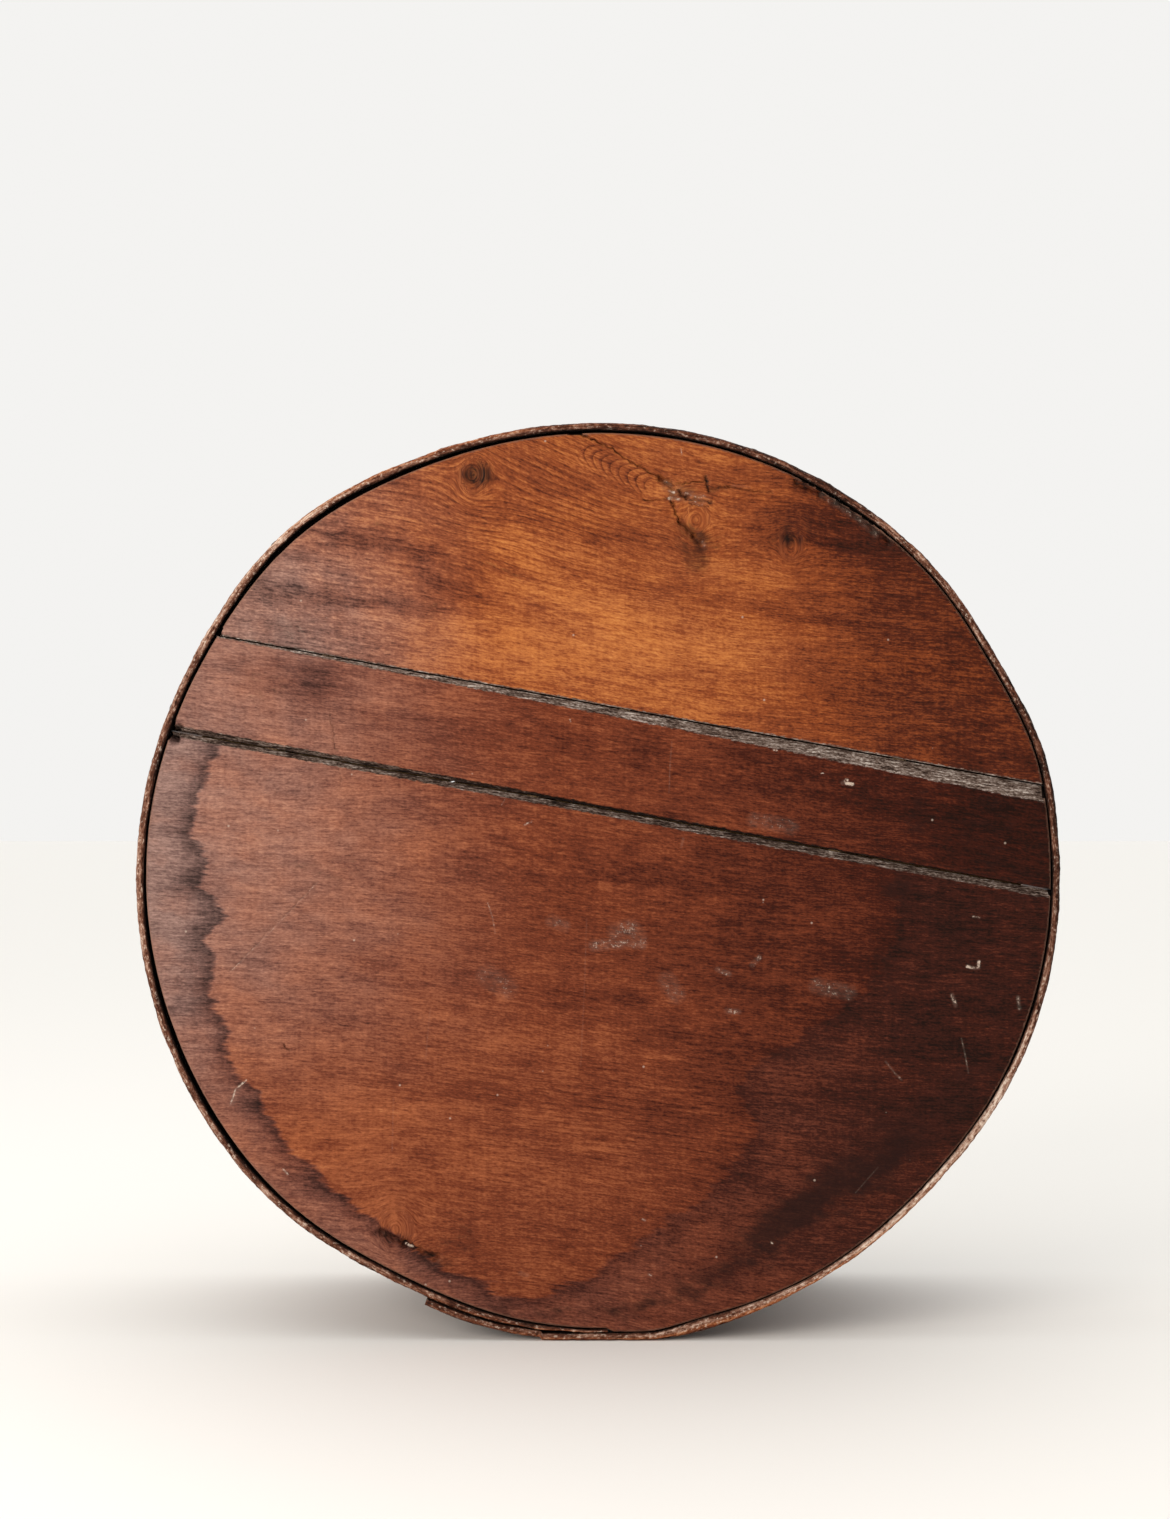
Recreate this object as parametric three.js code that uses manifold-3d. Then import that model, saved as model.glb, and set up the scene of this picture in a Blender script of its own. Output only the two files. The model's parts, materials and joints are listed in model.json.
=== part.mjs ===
// A bentwood cheese mold: a steam-bent band lapped on itself, a three-board base let into one end of it,
// and a loose follower that presses the curd inside. Units are millimetres.
//
// The mold is drawn as its base is seen: x to the right, y up the face of the base and z out of the base towards
// the viewer, so the mouth is at the lowest z. The last lines stand it on its rim, with +Z up and the mouth at +Y.

import * as THREE from "three";
import { mergeVertices } from "three/addons/utils/BufferGeometryUtils.js";
import Module from "manifold-3d";

const wasm = await Module();
wasm.setup();

// ---- driving dimensions --------------------------------------------------------------------------------------

const CLEARANCE = 0.35; // between pieces that touch

// The band. Angles are in degrees, anticlockwise from +x, as seen from outside the base.
const BAND_RADIUS = 200; // mean outer radius
const BAND_OVAL = 1; // how much wider than round it has dried
const BAND_THICK = 3.2;
// Where it has swollen out, or drawn in, from that oval as it dried. The last is the single layer before the lap.
const BAND_SWELLS = [
  { at: 131, width: 14, height: 3.8 },
  { at: 30, width: 9, height: -1.8 },
  { at: 15, width: 7, height: 1.2 },
  { at: 318, width: 14, height: -2.2 },
  { at: 243, width: 14, height: -3.4 },
];
const BAND_DEPTH = 150;
const INNER_END = 271.2; // where the strip starts, on the inside of the lap
const LAP = 23.4; // how far the outer end runs past the inner one
const FEATHER_THICK = 1; // the inner end is planed down to this
const FEATHER_RUN = 20;
const FOOT_DISTANCE = 200.4; // from the axis to the flat worn under the lap
const FOOT_HALF = 7;
const FOOT_BLEND = 23; // the outer layer eases back to the plain band over this
const SHAVED_FROM = 345; // the thicker wood by the foot is shaved down over this run, to fit over the inner end
const SHAVED_TO = 357;
const BAND_STEP = 3;

// The base, three boards with tapered bevels along their seams.
const BASE_THICK = 15;
const BASE_RECESS = 1; // its outside face lies this far inside the rim
const BASE_GAP = 0.75; // to the band, before it opens or closes
const GAP_SWELLS = [
  { at: 128, width: 22, height: 1.5 },
  { at: 205, width: 22, height: 1.3 },
  { at: 342, width: 10, height: 0.45 },
  { at: 90, width: 20, height: 0.5 },
  { at: 300, width: 25, height: -0.25 },
];
const SEAM_GAP = 0.6;
// Each line is its height at x = 0 and its rise per millimetre of x. A bevel starts at its line on the face and
// falls to the joint by its angle in degrees.
const UPPER_JOINT = { height: 76.3, slope: -0.181 };
const LOWER_JOINT = { height: 31.3, slope: -0.1812 };
const MIDDLE_TOP_BEVEL = { height: 72.4, slope: -0.2003, fall: 25 };
const MIDDLE_LOW_BEVEL = { height: 32.9, slope: -0.1879, fall: 50 };
const LOWER_TOP_BEVEL = { height: 28.3, slope: -0.1848, fall: 40 };

const DOWEL_RADIUS = 3.2;
const DOWEL_LENGTH = 32;
const UPPER_DOWELS_AT = [-118, 12, 132];
const LOWER_DOWELS_AT = [-142, -28, 104];

// Wrought nails through the band into the base, and clenched nails through the lap.
const NAIL_RADIUS = 1.1;
const NAIL_LENGTH = 22;
const HEAD_RADIUS = 2.9;
const HEAD_HEIGHT = 1.3;
const NAILS_INTO_BASE = {
  upper: [20, 44, 70, 110, 134],
  middle: [0.8, 7, 151, 158],
  lower: [-5.4, -12.8, -30, -50, -68, 165, 179.2, 200, 222, 243],
};
const LAP_ROWS_AT = [251.5, 256.8];
const LAP_NAILS_FROM_MOUTH = [13, 45, 80, 115];
const CLENCH_RADIUS = 1.9;
const CLENCH_HEIGHT = 0.6;

// The follower, three boards on two battens.
const FOLLOWER_RADIUS = 187;
const FOLLOWER_THICK = 16;
const FOLLOWER_BOARD = 124; // width of its middle board
const FOLLOWER_SEAM = 0.8;
const FOLLOWER_DROP = 2.5; // it lies on the band's inside
const FOLLOWER_TURN = 17;
const BATTEN_WIDTH = 42;
const BATTEN_THICK = 22;
const BATTEN_LENGTH = 286;
const BATTEN_AT = 84;
const BATTEN_NOSE = 12; // the bevel on each end
const BATTEN_NAIL_LENGTH = 30;
const HEAD_SUNK = 0.4;
// Where the nails cross each batten: along it, and to the side.
const BATTEN_NAILS = [
  [-118, 8],
  [-82, -8],
  [-30, 8],
  [30, -8],
  [82, 8],
  [118, -8],
];

const SIDES = 10; // of nails, dowels and drilled holes
const REACH = 500; // longer than the whole mold, for cutting blocks

const FRONT = BAND_DEPTH / 2; // the rim round the base
const MOUTH = -BAND_DEPTH / 2;
const BASE_FRONT = FRONT - BASE_RECESS;
const BASE_BACK = BASE_FRONT - BASE_THICK;
const MID_BASE = (BASE_FRONT + BASE_BACK) / 2;
const FOLLOWER_FRONT = BASE_BACK - 0.5;
const FOLLOWER_BACK = FOLLOWER_FRONT - FOLLOWER_THICK;
const BATTEN_FRONT = FOLLOWER_BACK - CLEARANCE;
const BATTEN_BACK = BATTEN_FRONT - BATTEN_THICK;

// ---- materials -----------------------------------------------------------------------------------------------

const stainedPine = new THREE.MeshStandardMaterial({ color: "#7a3f20", roughness: 0.5, metalness: 0 });
const redPine = new THREE.MeshStandardMaterial({ color: "#5f2c1a", roughness: 0.5, metalness: 0 });
const amberPine = new THREE.MeshStandardMaterial({ color: "#9a5525", roughness: 0.5, metalness: 0 });
const bentBeech = new THREE.MeshStandardMaterial({ color: "#6e4a30", roughness: 0.6, metalness: 0 });
const palePine = new THREE.MeshStandardMaterial({ color: "#b08a5c", roughness: 0.8, metalness: 0 });
const beechDowel = new THREE.MeshStandardMaterial({ color: "#a98458", roughness: 0.7, metalness: 0 });
const wroughtIron = new THREE.MeshStandardMaterial({ color: "#2f2723", roughness: 0.7, metalness: 0.8 });

// ---- solids --------------------------------------------------------------------------------------------------

const radians = THREE.MathUtils.degToRad;
const smooth = THREE.MathUtils.smoothstep;

/** A closed three.js geometry, placed by a matrix, as a solid that can be cut. */
function solidOf(geometry, matrix = new THREE.Matrix4()) {
  const placed = geometry.clone().applyMatrix4(matrix);
  placed.deleteAttribute("normal");
  placed.deleteAttribute("uv");
  const merged = mergeVertices(placed, 1e-4);
  const vertProperties = new Float32Array(merged.attributes.position.array);
  const triVerts = new Uint32Array(merged.index.array);
  return new wasm.Manifold(new wasm.Mesh({ numProp: 3, vertProperties, triVerts }));
}

function cutAll(solid, cutters) {
  return cutters.reduce((rest, cutter) => rest.subtract(cutter), solid);
}

/** A cut solid as a three.js geometry. */
function geometryOf(solid) {
  const { vertProperties, triVerts } = solid.getMesh();
  const geometry = new THREE.BufferGeometry();
  geometry.setAttribute("position", new THREE.BufferAttribute(vertProperties, 3));
  geometry.setIndex(new THREE.BufferAttribute(triVerts, 1));
  geometry.computeVertexNormals();
  return geometry;
}

function mesh(name, geometry, material) {
  const made = new THREE.Mesh(geometry, material);
  made.name = name;
  return made;
}

/** Moves a mesh to a place. */
function put(made, place) {
  made.position.copy(place.position);
  made.rotation.copy(place.rotation);
  return made;
}

/** The flat outline through points, from the height back to the height front. */
function slab(points, back, front) {
  const shape = new THREE.Shape(points);
  const geometry = new THREE.ExtrudeGeometry(shape, { depth: front - back, bevelEnabled: false });
  return geometry.translate(0, 0, back);
}

function polar(radius, degrees) {
  return new THREE.Vector2(radius * Math.cos(radians(degrees)), radius * Math.sin(radians(degrees)));
}

/** A place on a seam line, with its x along the line. */
function placeOn(line, x, z) {
  const place = new THREE.Object3D();
  place.position.set(x, line.height + line.slope * x, z);
  place.rotation.z = Math.atan(line.slope);
  place.updateMatrix();
  return place;
}

/** A block that fills the base's face on one side of a line and square to it: side 1 is above the line. */
function blockBeside(line, side) {
  const block = new THREE.BoxGeometry(2 * REACH, REACH, REACH).translate(0, (side * REACH) / 2, 0);
  return solidOf(block, placeOn(line, 0, 0).matrix);
}

/** A block that takes a bevel off a board's edge. It meets the face at the bevel's line and falls away from it. */
function bevelBlock(bevel, side) {
  const block = new THREE.BoxGeometry(2 * REACH, 2 * REACH, REACH).translate(0, 0, REACH / 2);
  block.rotateX(-side * radians(bevel.fall));
  return solidOf(block, placeOn(bevel, 0, BASE_FRONT).matrix);
}

// ---- band ----------------------------------------------------------------------------------------------------

/** What the swells in a list add at an angle. */
function swell(degrees, swells) {
  return swells.reduce((sum, { at, width, height }) => {
    const past = THREE.MathUtils.euclideanModulo(degrees - at + 180, 360) - 180;
    return sum + height * Math.exp(-((past / width) ** 2));
  }, 0);
}

/** Outer radius of the plain, single band at an angle. */
function plainRadius(degrees) {
  return BAND_RADIUS + BAND_OVAL * Math.cos(radians(2 * degrees)) + swell(degrees, BAND_SWELLS);
}

/** Inner and outer radius of the strip, run degrees on from its inner end. */
function stripRadii(run) {
  const degrees = INNER_END - run;
  const inner = plainRadius(degrees) - BAND_THICK;
  const thick = THREE.MathUtils.lerp(FEATHER_THICK, BAND_THICK, smooth(run, 0, FEATHER_RUN));
  if (run < 180) return { inner, outer: inner + thick };

  const fromFoot = 270 - (degrees + 360); // negative before the foot, positive past it
  const corner = FOOT_DISTANCE / Math.cos(radians(FOOT_HALF));
  let outer = plainRadius(degrees);
  if (fromFoot < -FOOT_HALF) {
    const share = smooth(fromFoot, -FOOT_HALF - FOOT_BLEND, -FOOT_HALF);
    outer = THREE.MathUtils.lerp(outer, corner, share);
  } else if (fromFoot <= FOOT_HALF) {
    outer = FOOT_DISTANCE / Math.cos(radians(fromFoot));
  }
  if (run >= 360) {
    outer = Math.max(outer, stripRadii(run - 360).outer + CLEARANCE + BAND_THICK);
  }
  const shaved = smooth(run, SHAVED_FROM, SHAVED_TO);
  return { inner: THREE.MathUtils.lerp(inner, outer - BAND_THICK, shaved), outer };
}

/** Outer radius of the outermost layer at an angle. */
function outerRadius(degrees) {
  const run = (((INNER_END - degrees) % 360) + 360) % 360;
  return stripRadii(run < LAP ? run + 360 : run).outer;
}

/** The runs at which the strip's outline has a point: even steps, and the two corners of the foot. */
function stations() {
  const end = 360 + LAP;
  const corners = [FOOT_HALF, -FOOT_HALF].map((side) => INNER_END + 90 - side);
  const steps = Math.round(end / BAND_STEP);
  const even = Array.from({ length: steps + 1 }, (_, i) => (i * end) / steps);
  const outsideFoot = even.filter((run) => run < corners[0] - 1 || run > corners[1] + 1);
  return [...outsideFoot, ...corners].sort((a, b) => a - b);
}

function bandSolid() {
  const runs = stations();
  const outside = runs.map((run) => polar(stripRadii(run).outer, INNER_END - run));
  const inside = runs.map((run) => polar(stripRadii(run).inner, INNER_END - run));
  return solidOf(slab([...outside, ...inside.reverse()], MOUTH, FRONT));
}

// ---- base ----------------------------------------------------------------------------------------------------

function baseRadius(degrees) {
  return plainRadius(degrees) - BAND_THICK - BASE_GAP - swell(degrees, GAP_SWELLS);
}

function baseDisc() {
  const count = 360 / BAND_STEP;
  const points = Array.from({ length: count }, (_, i) => polar(baseRadius(i * BAND_STEP), i * BAND_STEP));
  return solidOf(slab(points, BASE_BACK, BASE_FRONT));
}

/** A seam's line moved half the gap to one side. */
function jointFace(line, side) {
  return { height: line.height + (side * SEAM_GAP) / 2, slope: line.slope };
}

function upperBoard(disc) {
  return disc.subtract(blockBeside(jointFace(UPPER_JOINT, 1), -1));
}

function middleBoard(disc) {
  const above = blockBeside(jointFace(UPPER_JOINT, -1), 1);
  const below = blockBeside(jointFace(LOWER_JOINT, 1), -1);
  return cutAll(disc, [above, below, bevelBlock(MIDDLE_TOP_BEVEL, 1), bevelBlock(MIDDLE_LOW_BEVEL, -1)]);
}

function lowerBoard(disc) {
  return cutAll(disc, [blockBeside(jointFace(LOWER_JOINT, -1), 1), bevelBlock(LOWER_TOP_BEVEL, 1)]);
}

// ---- dowels --------------------------------------------------------------------------------------------------

function dowelHoles(line, positions) {
  const bore = DOWEL_RADIUS + CLEARANCE;
  const drill = new THREE.CylinderGeometry(bore, bore, DOWEL_LENGTH + 2 * CLEARANCE, SIDES);
  return positions.map((x) => solidOf(drill, placeOn(line, x, MID_BASE).matrix));
}

function dowels(seam, line, positions) {
  const peg = new THREE.CylinderGeometry(DOWEL_RADIUS, DOWEL_RADIUS, DOWEL_LENGTH, SIDES);
  return positions.map((x, i) => {
    const dowel = mesh(`${seam}_seam_dowel_${i + 1}`, peg, beechDowel);
    return put(dowel, placeOn(line, x, MID_BASE));
  });
}

// ---- nails ---------------------------------------------------------------------------------------------------

/** A nail along y, with the underside of its domed head at y = 0 and its point at -length. */
function nail(length) {
  return new THREE.LatheGeometry(
    [
      new THREE.Vector2(0, -length),
      new THREE.Vector2(NAIL_RADIUS, -length + 5 * NAIL_RADIUS),
      new THREE.Vector2(NAIL_RADIUS, 0),
      new THREE.Vector2(HEAD_RADIUS, 0),
      new THREE.Vector2(0.75 * HEAD_RADIUS, 0.7 * HEAD_HEIGHT),
      new THREE.Vector2(0, HEAD_HEIGHT),
    ],
    SIDES,
  );
}

/** The same nail with its point hammered over into a flat clench, grip below the head. */
function clenchedNail(grip) {
  return new THREE.LatheGeometry(
    [
      new THREE.Vector2(0, -grip - CLENCH_HEIGHT),
      new THREE.Vector2(CLENCH_RADIUS, -grip - CLENCH_HEIGHT),
      new THREE.Vector2(CLENCH_RADIUS, -grip),
      new THREE.Vector2(NAIL_RADIUS, -grip),
      new THREE.Vector2(NAIL_RADIUS, 0),
      new THREE.Vector2(HEAD_RADIUS, 0),
      new THREE.Vector2(0.75 * HEAD_RADIUS, 0.7 * HEAD_HEIGHT),
      new THREE.Vector2(0, HEAD_HEIGHT),
    ],
    SIDES,
  );
}

/** Where a nail through the band stands: pointing inwards along the radius at an angle. */
function radialPlace(degrees, radius, z) {
  const at = polar(radius, degrees);
  const place = new THREE.Object3D();
  place.position.set(at.x, at.y, z);
  place.rotation.z = radians(degrees - 90);
  place.updateMatrix();
  return place;
}

/** A drill along y, from above the head to length below it. */
function drill(length) {
  const bore = NAIL_RADIUS + CLEARANCE;
  const over = 2 * HEAD_HEIGHT;
  return new THREE.CylinderGeometry(bore, bore, length + over, SIDES).translate(0, (over - length) / 2, 0);
}

function baseNailPlace(degrees) {
  return radialPlace(degrees, outerRadius(degrees) + CLEARANCE, MID_BASE);
}

function baseNailHoles(angles) {
  return angles.map((degrees) => solidOf(drill(NAIL_LENGTH + 1), baseNailPlace(degrees).matrix));
}

function baseNails() {
  const shape = nail(NAIL_LENGTH);
  return Object.entries(NAILS_INTO_BASE).flatMap(([board, angles]) =>
    angles.map((degrees, i) => {
      const made = mesh(`${board}_board_nail_${i + 1}`, shape, wroughtIron);
      return put(made, baseNailPlace(degrees));
    }),
  );
}

/** Every nail through the lap: its place, and the distance it grips between its head and its clench. */
function lapNailPlaces() {
  return LAP_ROWS_AT.flatMap((degrees) => {
    const { outer } = stripRadii(INNER_END + 360 - degrees);
    const { inner } = stripRadii(INNER_END - degrees);
    const grip = outer - inner + 2 * CLEARANCE;
    return LAP_NAILS_FROM_MOUTH.map((up) => ({
      grip,
      place: radialPlace(degrees, outer + CLEARANCE, MOUTH + up),
    }));
  });
}

function lapNails() {
  return lapNailPlaces().map(({ grip, place }, i) => {
    const made = mesh(`lap_nail_${i + 1}`, clenchedNail(grip), wroughtIron);
    return put(made, place);
  });
}

// ---- follower ------------------------------------------------------------------------------------------------

function followerDisc() {
  const count = 360 / BAND_STEP;
  const points = Array.from({ length: count }, (_, i) => polar(FOLLOWER_RADIUS, i * BAND_STEP));
  return solidOf(slab(points, FOLLOWER_BACK, FOLLOWER_FRONT));
}

function followerBoards(disc) {
  const half = FOLLOWER_BOARD / 2;
  const over = half + FOLLOWER_SEAM;
  const level = (height) => ({ height, slope: 0 });
  return {
    upper: disc.subtract(blockBeside(level(over), -1)),
    middle: cutAll(disc, [blockBeside(level(half), 1), blockBeside(level(-half), -1)]),
    lower: disc.subtract(blockBeside(level(-over), 1)),
  };
}

/** A batten's side view, length by thickness, with both ends bevelled on the back, drawn out to its width. */
function battenSolid(x) {
  const half = BATTEN_LENGTH / 2;
  const points = [
    new THREE.Vector2(-half, BATTEN_FRONT),
    new THREE.Vector2(-half, BATTEN_FRONT - BATTEN_NOSE / 2),
    new THREE.Vector2(-half + BATTEN_NOSE, BATTEN_BACK),
    new THREE.Vector2(half - BATTEN_NOSE, BATTEN_BACK),
    new THREE.Vector2(half, BATTEN_FRONT - BATTEN_NOSE / 2),
    new THREE.Vector2(half, BATTEN_FRONT),
  ];
  // The shape's first axis is laid along y and its second along z.
  const axes = new THREE.Matrix4().makeBasis(
    new THREE.Vector3(0, 1, 0),
    new THREE.Vector3(0, 0, 1),
    new THREE.Vector3(1, 0, 0),
  );
  const place = new THREE.Matrix4().makeTranslation(x, 0, 0).multiply(axes);
  return solidOf(slab(points, -BATTEN_WIDTH / 2, BATTEN_WIDTH / 2), place);
}

function battenNailPlaces(x) {
  return BATTEN_NAILS.map(([along, aside]) => {
    const place = new THREE.Object3D();
    place.position.set(x + aside, along, BATTEN_BACK + HEAD_SUNK + HEAD_HEIGHT);
    place.rotation.x = -Math.PI / 2;
    place.updateMatrix();
    return place;
  });
}

/** Holes for a batten's nails, each with a sinking for the head. */
function battenNailHoles(x) {
  const sinkRadius = HEAD_RADIUS + CLEARANCE;
  const sink = new THREE.CylinderGeometry(sinkRadius, sinkRadius, 8, SIDES).translate(0, 4 - CLEARANCE, 0);
  return battenNailPlaces(x).flatMap((place) => [
    solidOf(drill(BATTEN_NAIL_LENGTH + 1), place.matrix),
    solidOf(sink, place.matrix),
  ]);
}

function followerGroup() {
  const group = new THREE.Group();
  group.rotation.z = radians(FOLLOWER_TURN);
  group.position.y = -FOLLOWER_DROP;
  const sides = { left: -BATTEN_AT, right: BATTEN_AT };
  const holes = Object.values(sides).flatMap(battenNailHoles);

  for (const [name, board] of Object.entries(followerBoards(followerDisc()))) {
    group.add(mesh(`follower_${name}_board`, geometryOf(cutAll(board, holes)), palePine));
  }
  for (const [side, x] of Object.entries(sides)) {
    group.add(mesh(`follower_${side}_batten`, geometryOf(cutAll(battenSolid(x), holes)), palePine));
    battenNailPlaces(x).forEach((place, i) => {
      const made = mesh(`${side}_batten_nail_${i + 1}`, nail(BATTEN_NAIL_LENGTH), wroughtIron);
      group.add(put(made, place));
    });
  }
  return group;
}

// ---- assembly ------------------------------------------------------------------------------------------------

function moldGroup() {
  const group = new THREE.Group();
  const nailHoles = Object.fromEntries(
    Object.entries(NAILS_INTO_BASE).map(([board, angles]) => [board, baseNailHoles(angles)]),
  );
  const lapHoles = lapNailPlaces().map(({ grip, place }) => solidOf(drill(grip + 2), place.matrix));
  const band = cutAll(bandSolid(), [...Object.values(nailHoles).flat(), ...lapHoles]);
  group.add(mesh("bent_band", geometryOf(band), bentBeech));

  const disc = baseDisc();
  const upperHoles = dowelHoles(UPPER_JOINT, UPPER_DOWELS_AT);
  const lowerHoles = dowelHoles(LOWER_JOINT, LOWER_DOWELS_AT);
  const boards = [
    ["upper", upperBoard(disc), upperHoles, amberPine],
    ["middle", middleBoard(disc), [...upperHoles, ...lowerHoles], redPine],
    ["lower", lowerBoard(disc), lowerHoles, stainedPine],
  ];
  for (const [name, board, holes, wood] of boards) {
    const cut = cutAll(board, [...holes, ...nailHoles[name]]);
    group.add(mesh(`base_${name}_board`, geometryOf(cut), wood));
  }
  group.add(...dowels("upper", UPPER_JOINT, UPPER_DOWELS_AT));
  group.add(...dowels("lower", LOWER_JOINT, LOWER_DOWELS_AT));
  group.add(...baseNails());
  group.add(...lapNails());
  return group;
}

const standing = new THREE.Group();
standing.rotation.x = Math.PI / 2;
standing.position.z = FOOT_DISTANCE;
standing.add(moldGroup(), followerGroup());

const cheeseMold = new THREE.Group();
cheeseMold.add(standing);

export default cheeseMold;
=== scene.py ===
"""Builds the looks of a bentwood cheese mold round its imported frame: a strip of wood bent into a drum
and lapped on itself, a base of three old boards let into one end, and the loose follower inside.

Places on the base are (u, v) in millimetres from the drum's axis, u to the right and v up, as seen from
outside. Angles are in degrees, anticlockwise from u."""

import json
import math
from functools import partial

import bpy
import numpy as np
from mathutils import Matrix, Vector


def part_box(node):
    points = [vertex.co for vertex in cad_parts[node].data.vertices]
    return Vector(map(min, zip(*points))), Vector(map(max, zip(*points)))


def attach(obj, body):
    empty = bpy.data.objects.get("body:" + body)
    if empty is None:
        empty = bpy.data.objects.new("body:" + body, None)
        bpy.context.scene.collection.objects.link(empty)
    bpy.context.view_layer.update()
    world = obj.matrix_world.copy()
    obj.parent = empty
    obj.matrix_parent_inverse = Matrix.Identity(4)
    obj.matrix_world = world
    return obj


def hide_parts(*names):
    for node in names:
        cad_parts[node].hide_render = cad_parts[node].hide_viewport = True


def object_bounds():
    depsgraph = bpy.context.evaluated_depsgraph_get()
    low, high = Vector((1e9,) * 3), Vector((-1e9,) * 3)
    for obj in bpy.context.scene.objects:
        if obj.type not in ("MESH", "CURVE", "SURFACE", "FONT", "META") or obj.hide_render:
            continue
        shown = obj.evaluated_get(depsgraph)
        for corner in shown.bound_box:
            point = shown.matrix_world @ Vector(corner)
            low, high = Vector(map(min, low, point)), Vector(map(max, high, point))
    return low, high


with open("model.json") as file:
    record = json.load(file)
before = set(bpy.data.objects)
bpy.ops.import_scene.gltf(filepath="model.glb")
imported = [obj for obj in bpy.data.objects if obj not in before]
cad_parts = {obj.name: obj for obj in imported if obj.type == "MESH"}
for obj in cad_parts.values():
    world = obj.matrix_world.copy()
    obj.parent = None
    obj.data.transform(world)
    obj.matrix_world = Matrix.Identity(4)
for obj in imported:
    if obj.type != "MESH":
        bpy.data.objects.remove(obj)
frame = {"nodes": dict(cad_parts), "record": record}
CAD_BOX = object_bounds()

bl_info = {
    "name": "Bentwood cheese mold",
    "version": (1, 0, 0),
    "blender": (4, 5, 0),
    "location": "3D View > Sidebar > Cheese mold",
    "description": "Models and paints a bentwood cheese mold round its packed frame",
    "category": "Object",
}

MM = 0.001
MOUNTS = {mount["name"]: mount for mount in frame["record"]["mounts"]}
AXIS_Z = MOUNTS["mouth_rim"]["pos_m"][2]
FACE_Y = MOUNTS["base_face"]["pos_m"][1]
MOUTH_Y = MOUNTS["mouth_rim"]["pos_m"][1]
RIM_Y = CAD_BOX[0][1]
BACK_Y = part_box("base_lower_board")[1].y

# ---- the band's outline, as the frame has it ---------------------------------

BAND_RADIUS = 200.0
BAND_OVAL = 1.0
BAND_THICK = 3.2
INNER_END = 271.2
LAP = 23.4
FEATHER_THICK = 1.0
FEATHER_RUN = 20.0
# Angle, width and height of each place where it has swollen out or drawn in.
BAND_SWELLS = [(131, 14, 3.8), (30, 9, -1.8), (15, 7, 1.2), (318, 14, -2.2), (243, 14, -3.4)]
FOOT_DISTANCE = AXIS_Z / MM
FOOT_HALF, FOOT_BLEND = 7.0, 23.0
SHAVED_FROM, SHAVED_TO = 345.0, 357.0
LAYER_GAP = 0.35

# ---- the base's seams: height at u = 0, rise per millimetre, and the fall of a bevel in degrees 

SEAM_GAP = 0.6
UPPER_JOINT = (76.3, -0.181)
LOWER_JOINT = (31.3, -0.1812)
MIDDLE_TOP_BEVEL = (72.4, -0.2003, 25.0)
MIDDLE_LOW_BEVEL = (32.9, -0.1879, 50.0)
LOWER_TOP_BEVEL = (28.3, -0.1848, 40.0)
WORN_ARRIS = 0.5


def srgb(code, alpha=1.0):
    """An sRGB hex colour as linear values."""
    parts = [int(code[i : i + 2], 16) / 255 for i in (1, 3, 5)]
    linear = [c / 12.92 if c <= 0.04045 else ((c + 0.055) / 1.055) ** 2.4 for c in parts]
    return (*linear, alpha)


# ---- marks that time and use have left on the base ---------------------------

# The edge of the part that stayed dry: outside it, brine has soaked in and dried to a dark line.
DRY_EDGE = [
    (-158, 90), (-165, 56), (-174, 39), (-177, 21), (-169, 8), (-174, -2), (-163, -16), (-170, -26),
    (-165, -40), (-170, -48), (-164, -62), (-160, -78), (-152, -88), (-134, -117), (-108, -140),
    (-86, -157), (-64, -170), (-30, -183), (0, -171), (20, -155), (44, -139), (60, -123), (71, -109),
    (60, -92), (66, -82), (84, -70), (104, -58), (120, -44), (128, -28), (131, -8), (128, 14),
    (142, 24), (150, 40), (150, 90),
]  # fmt: skip

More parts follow.
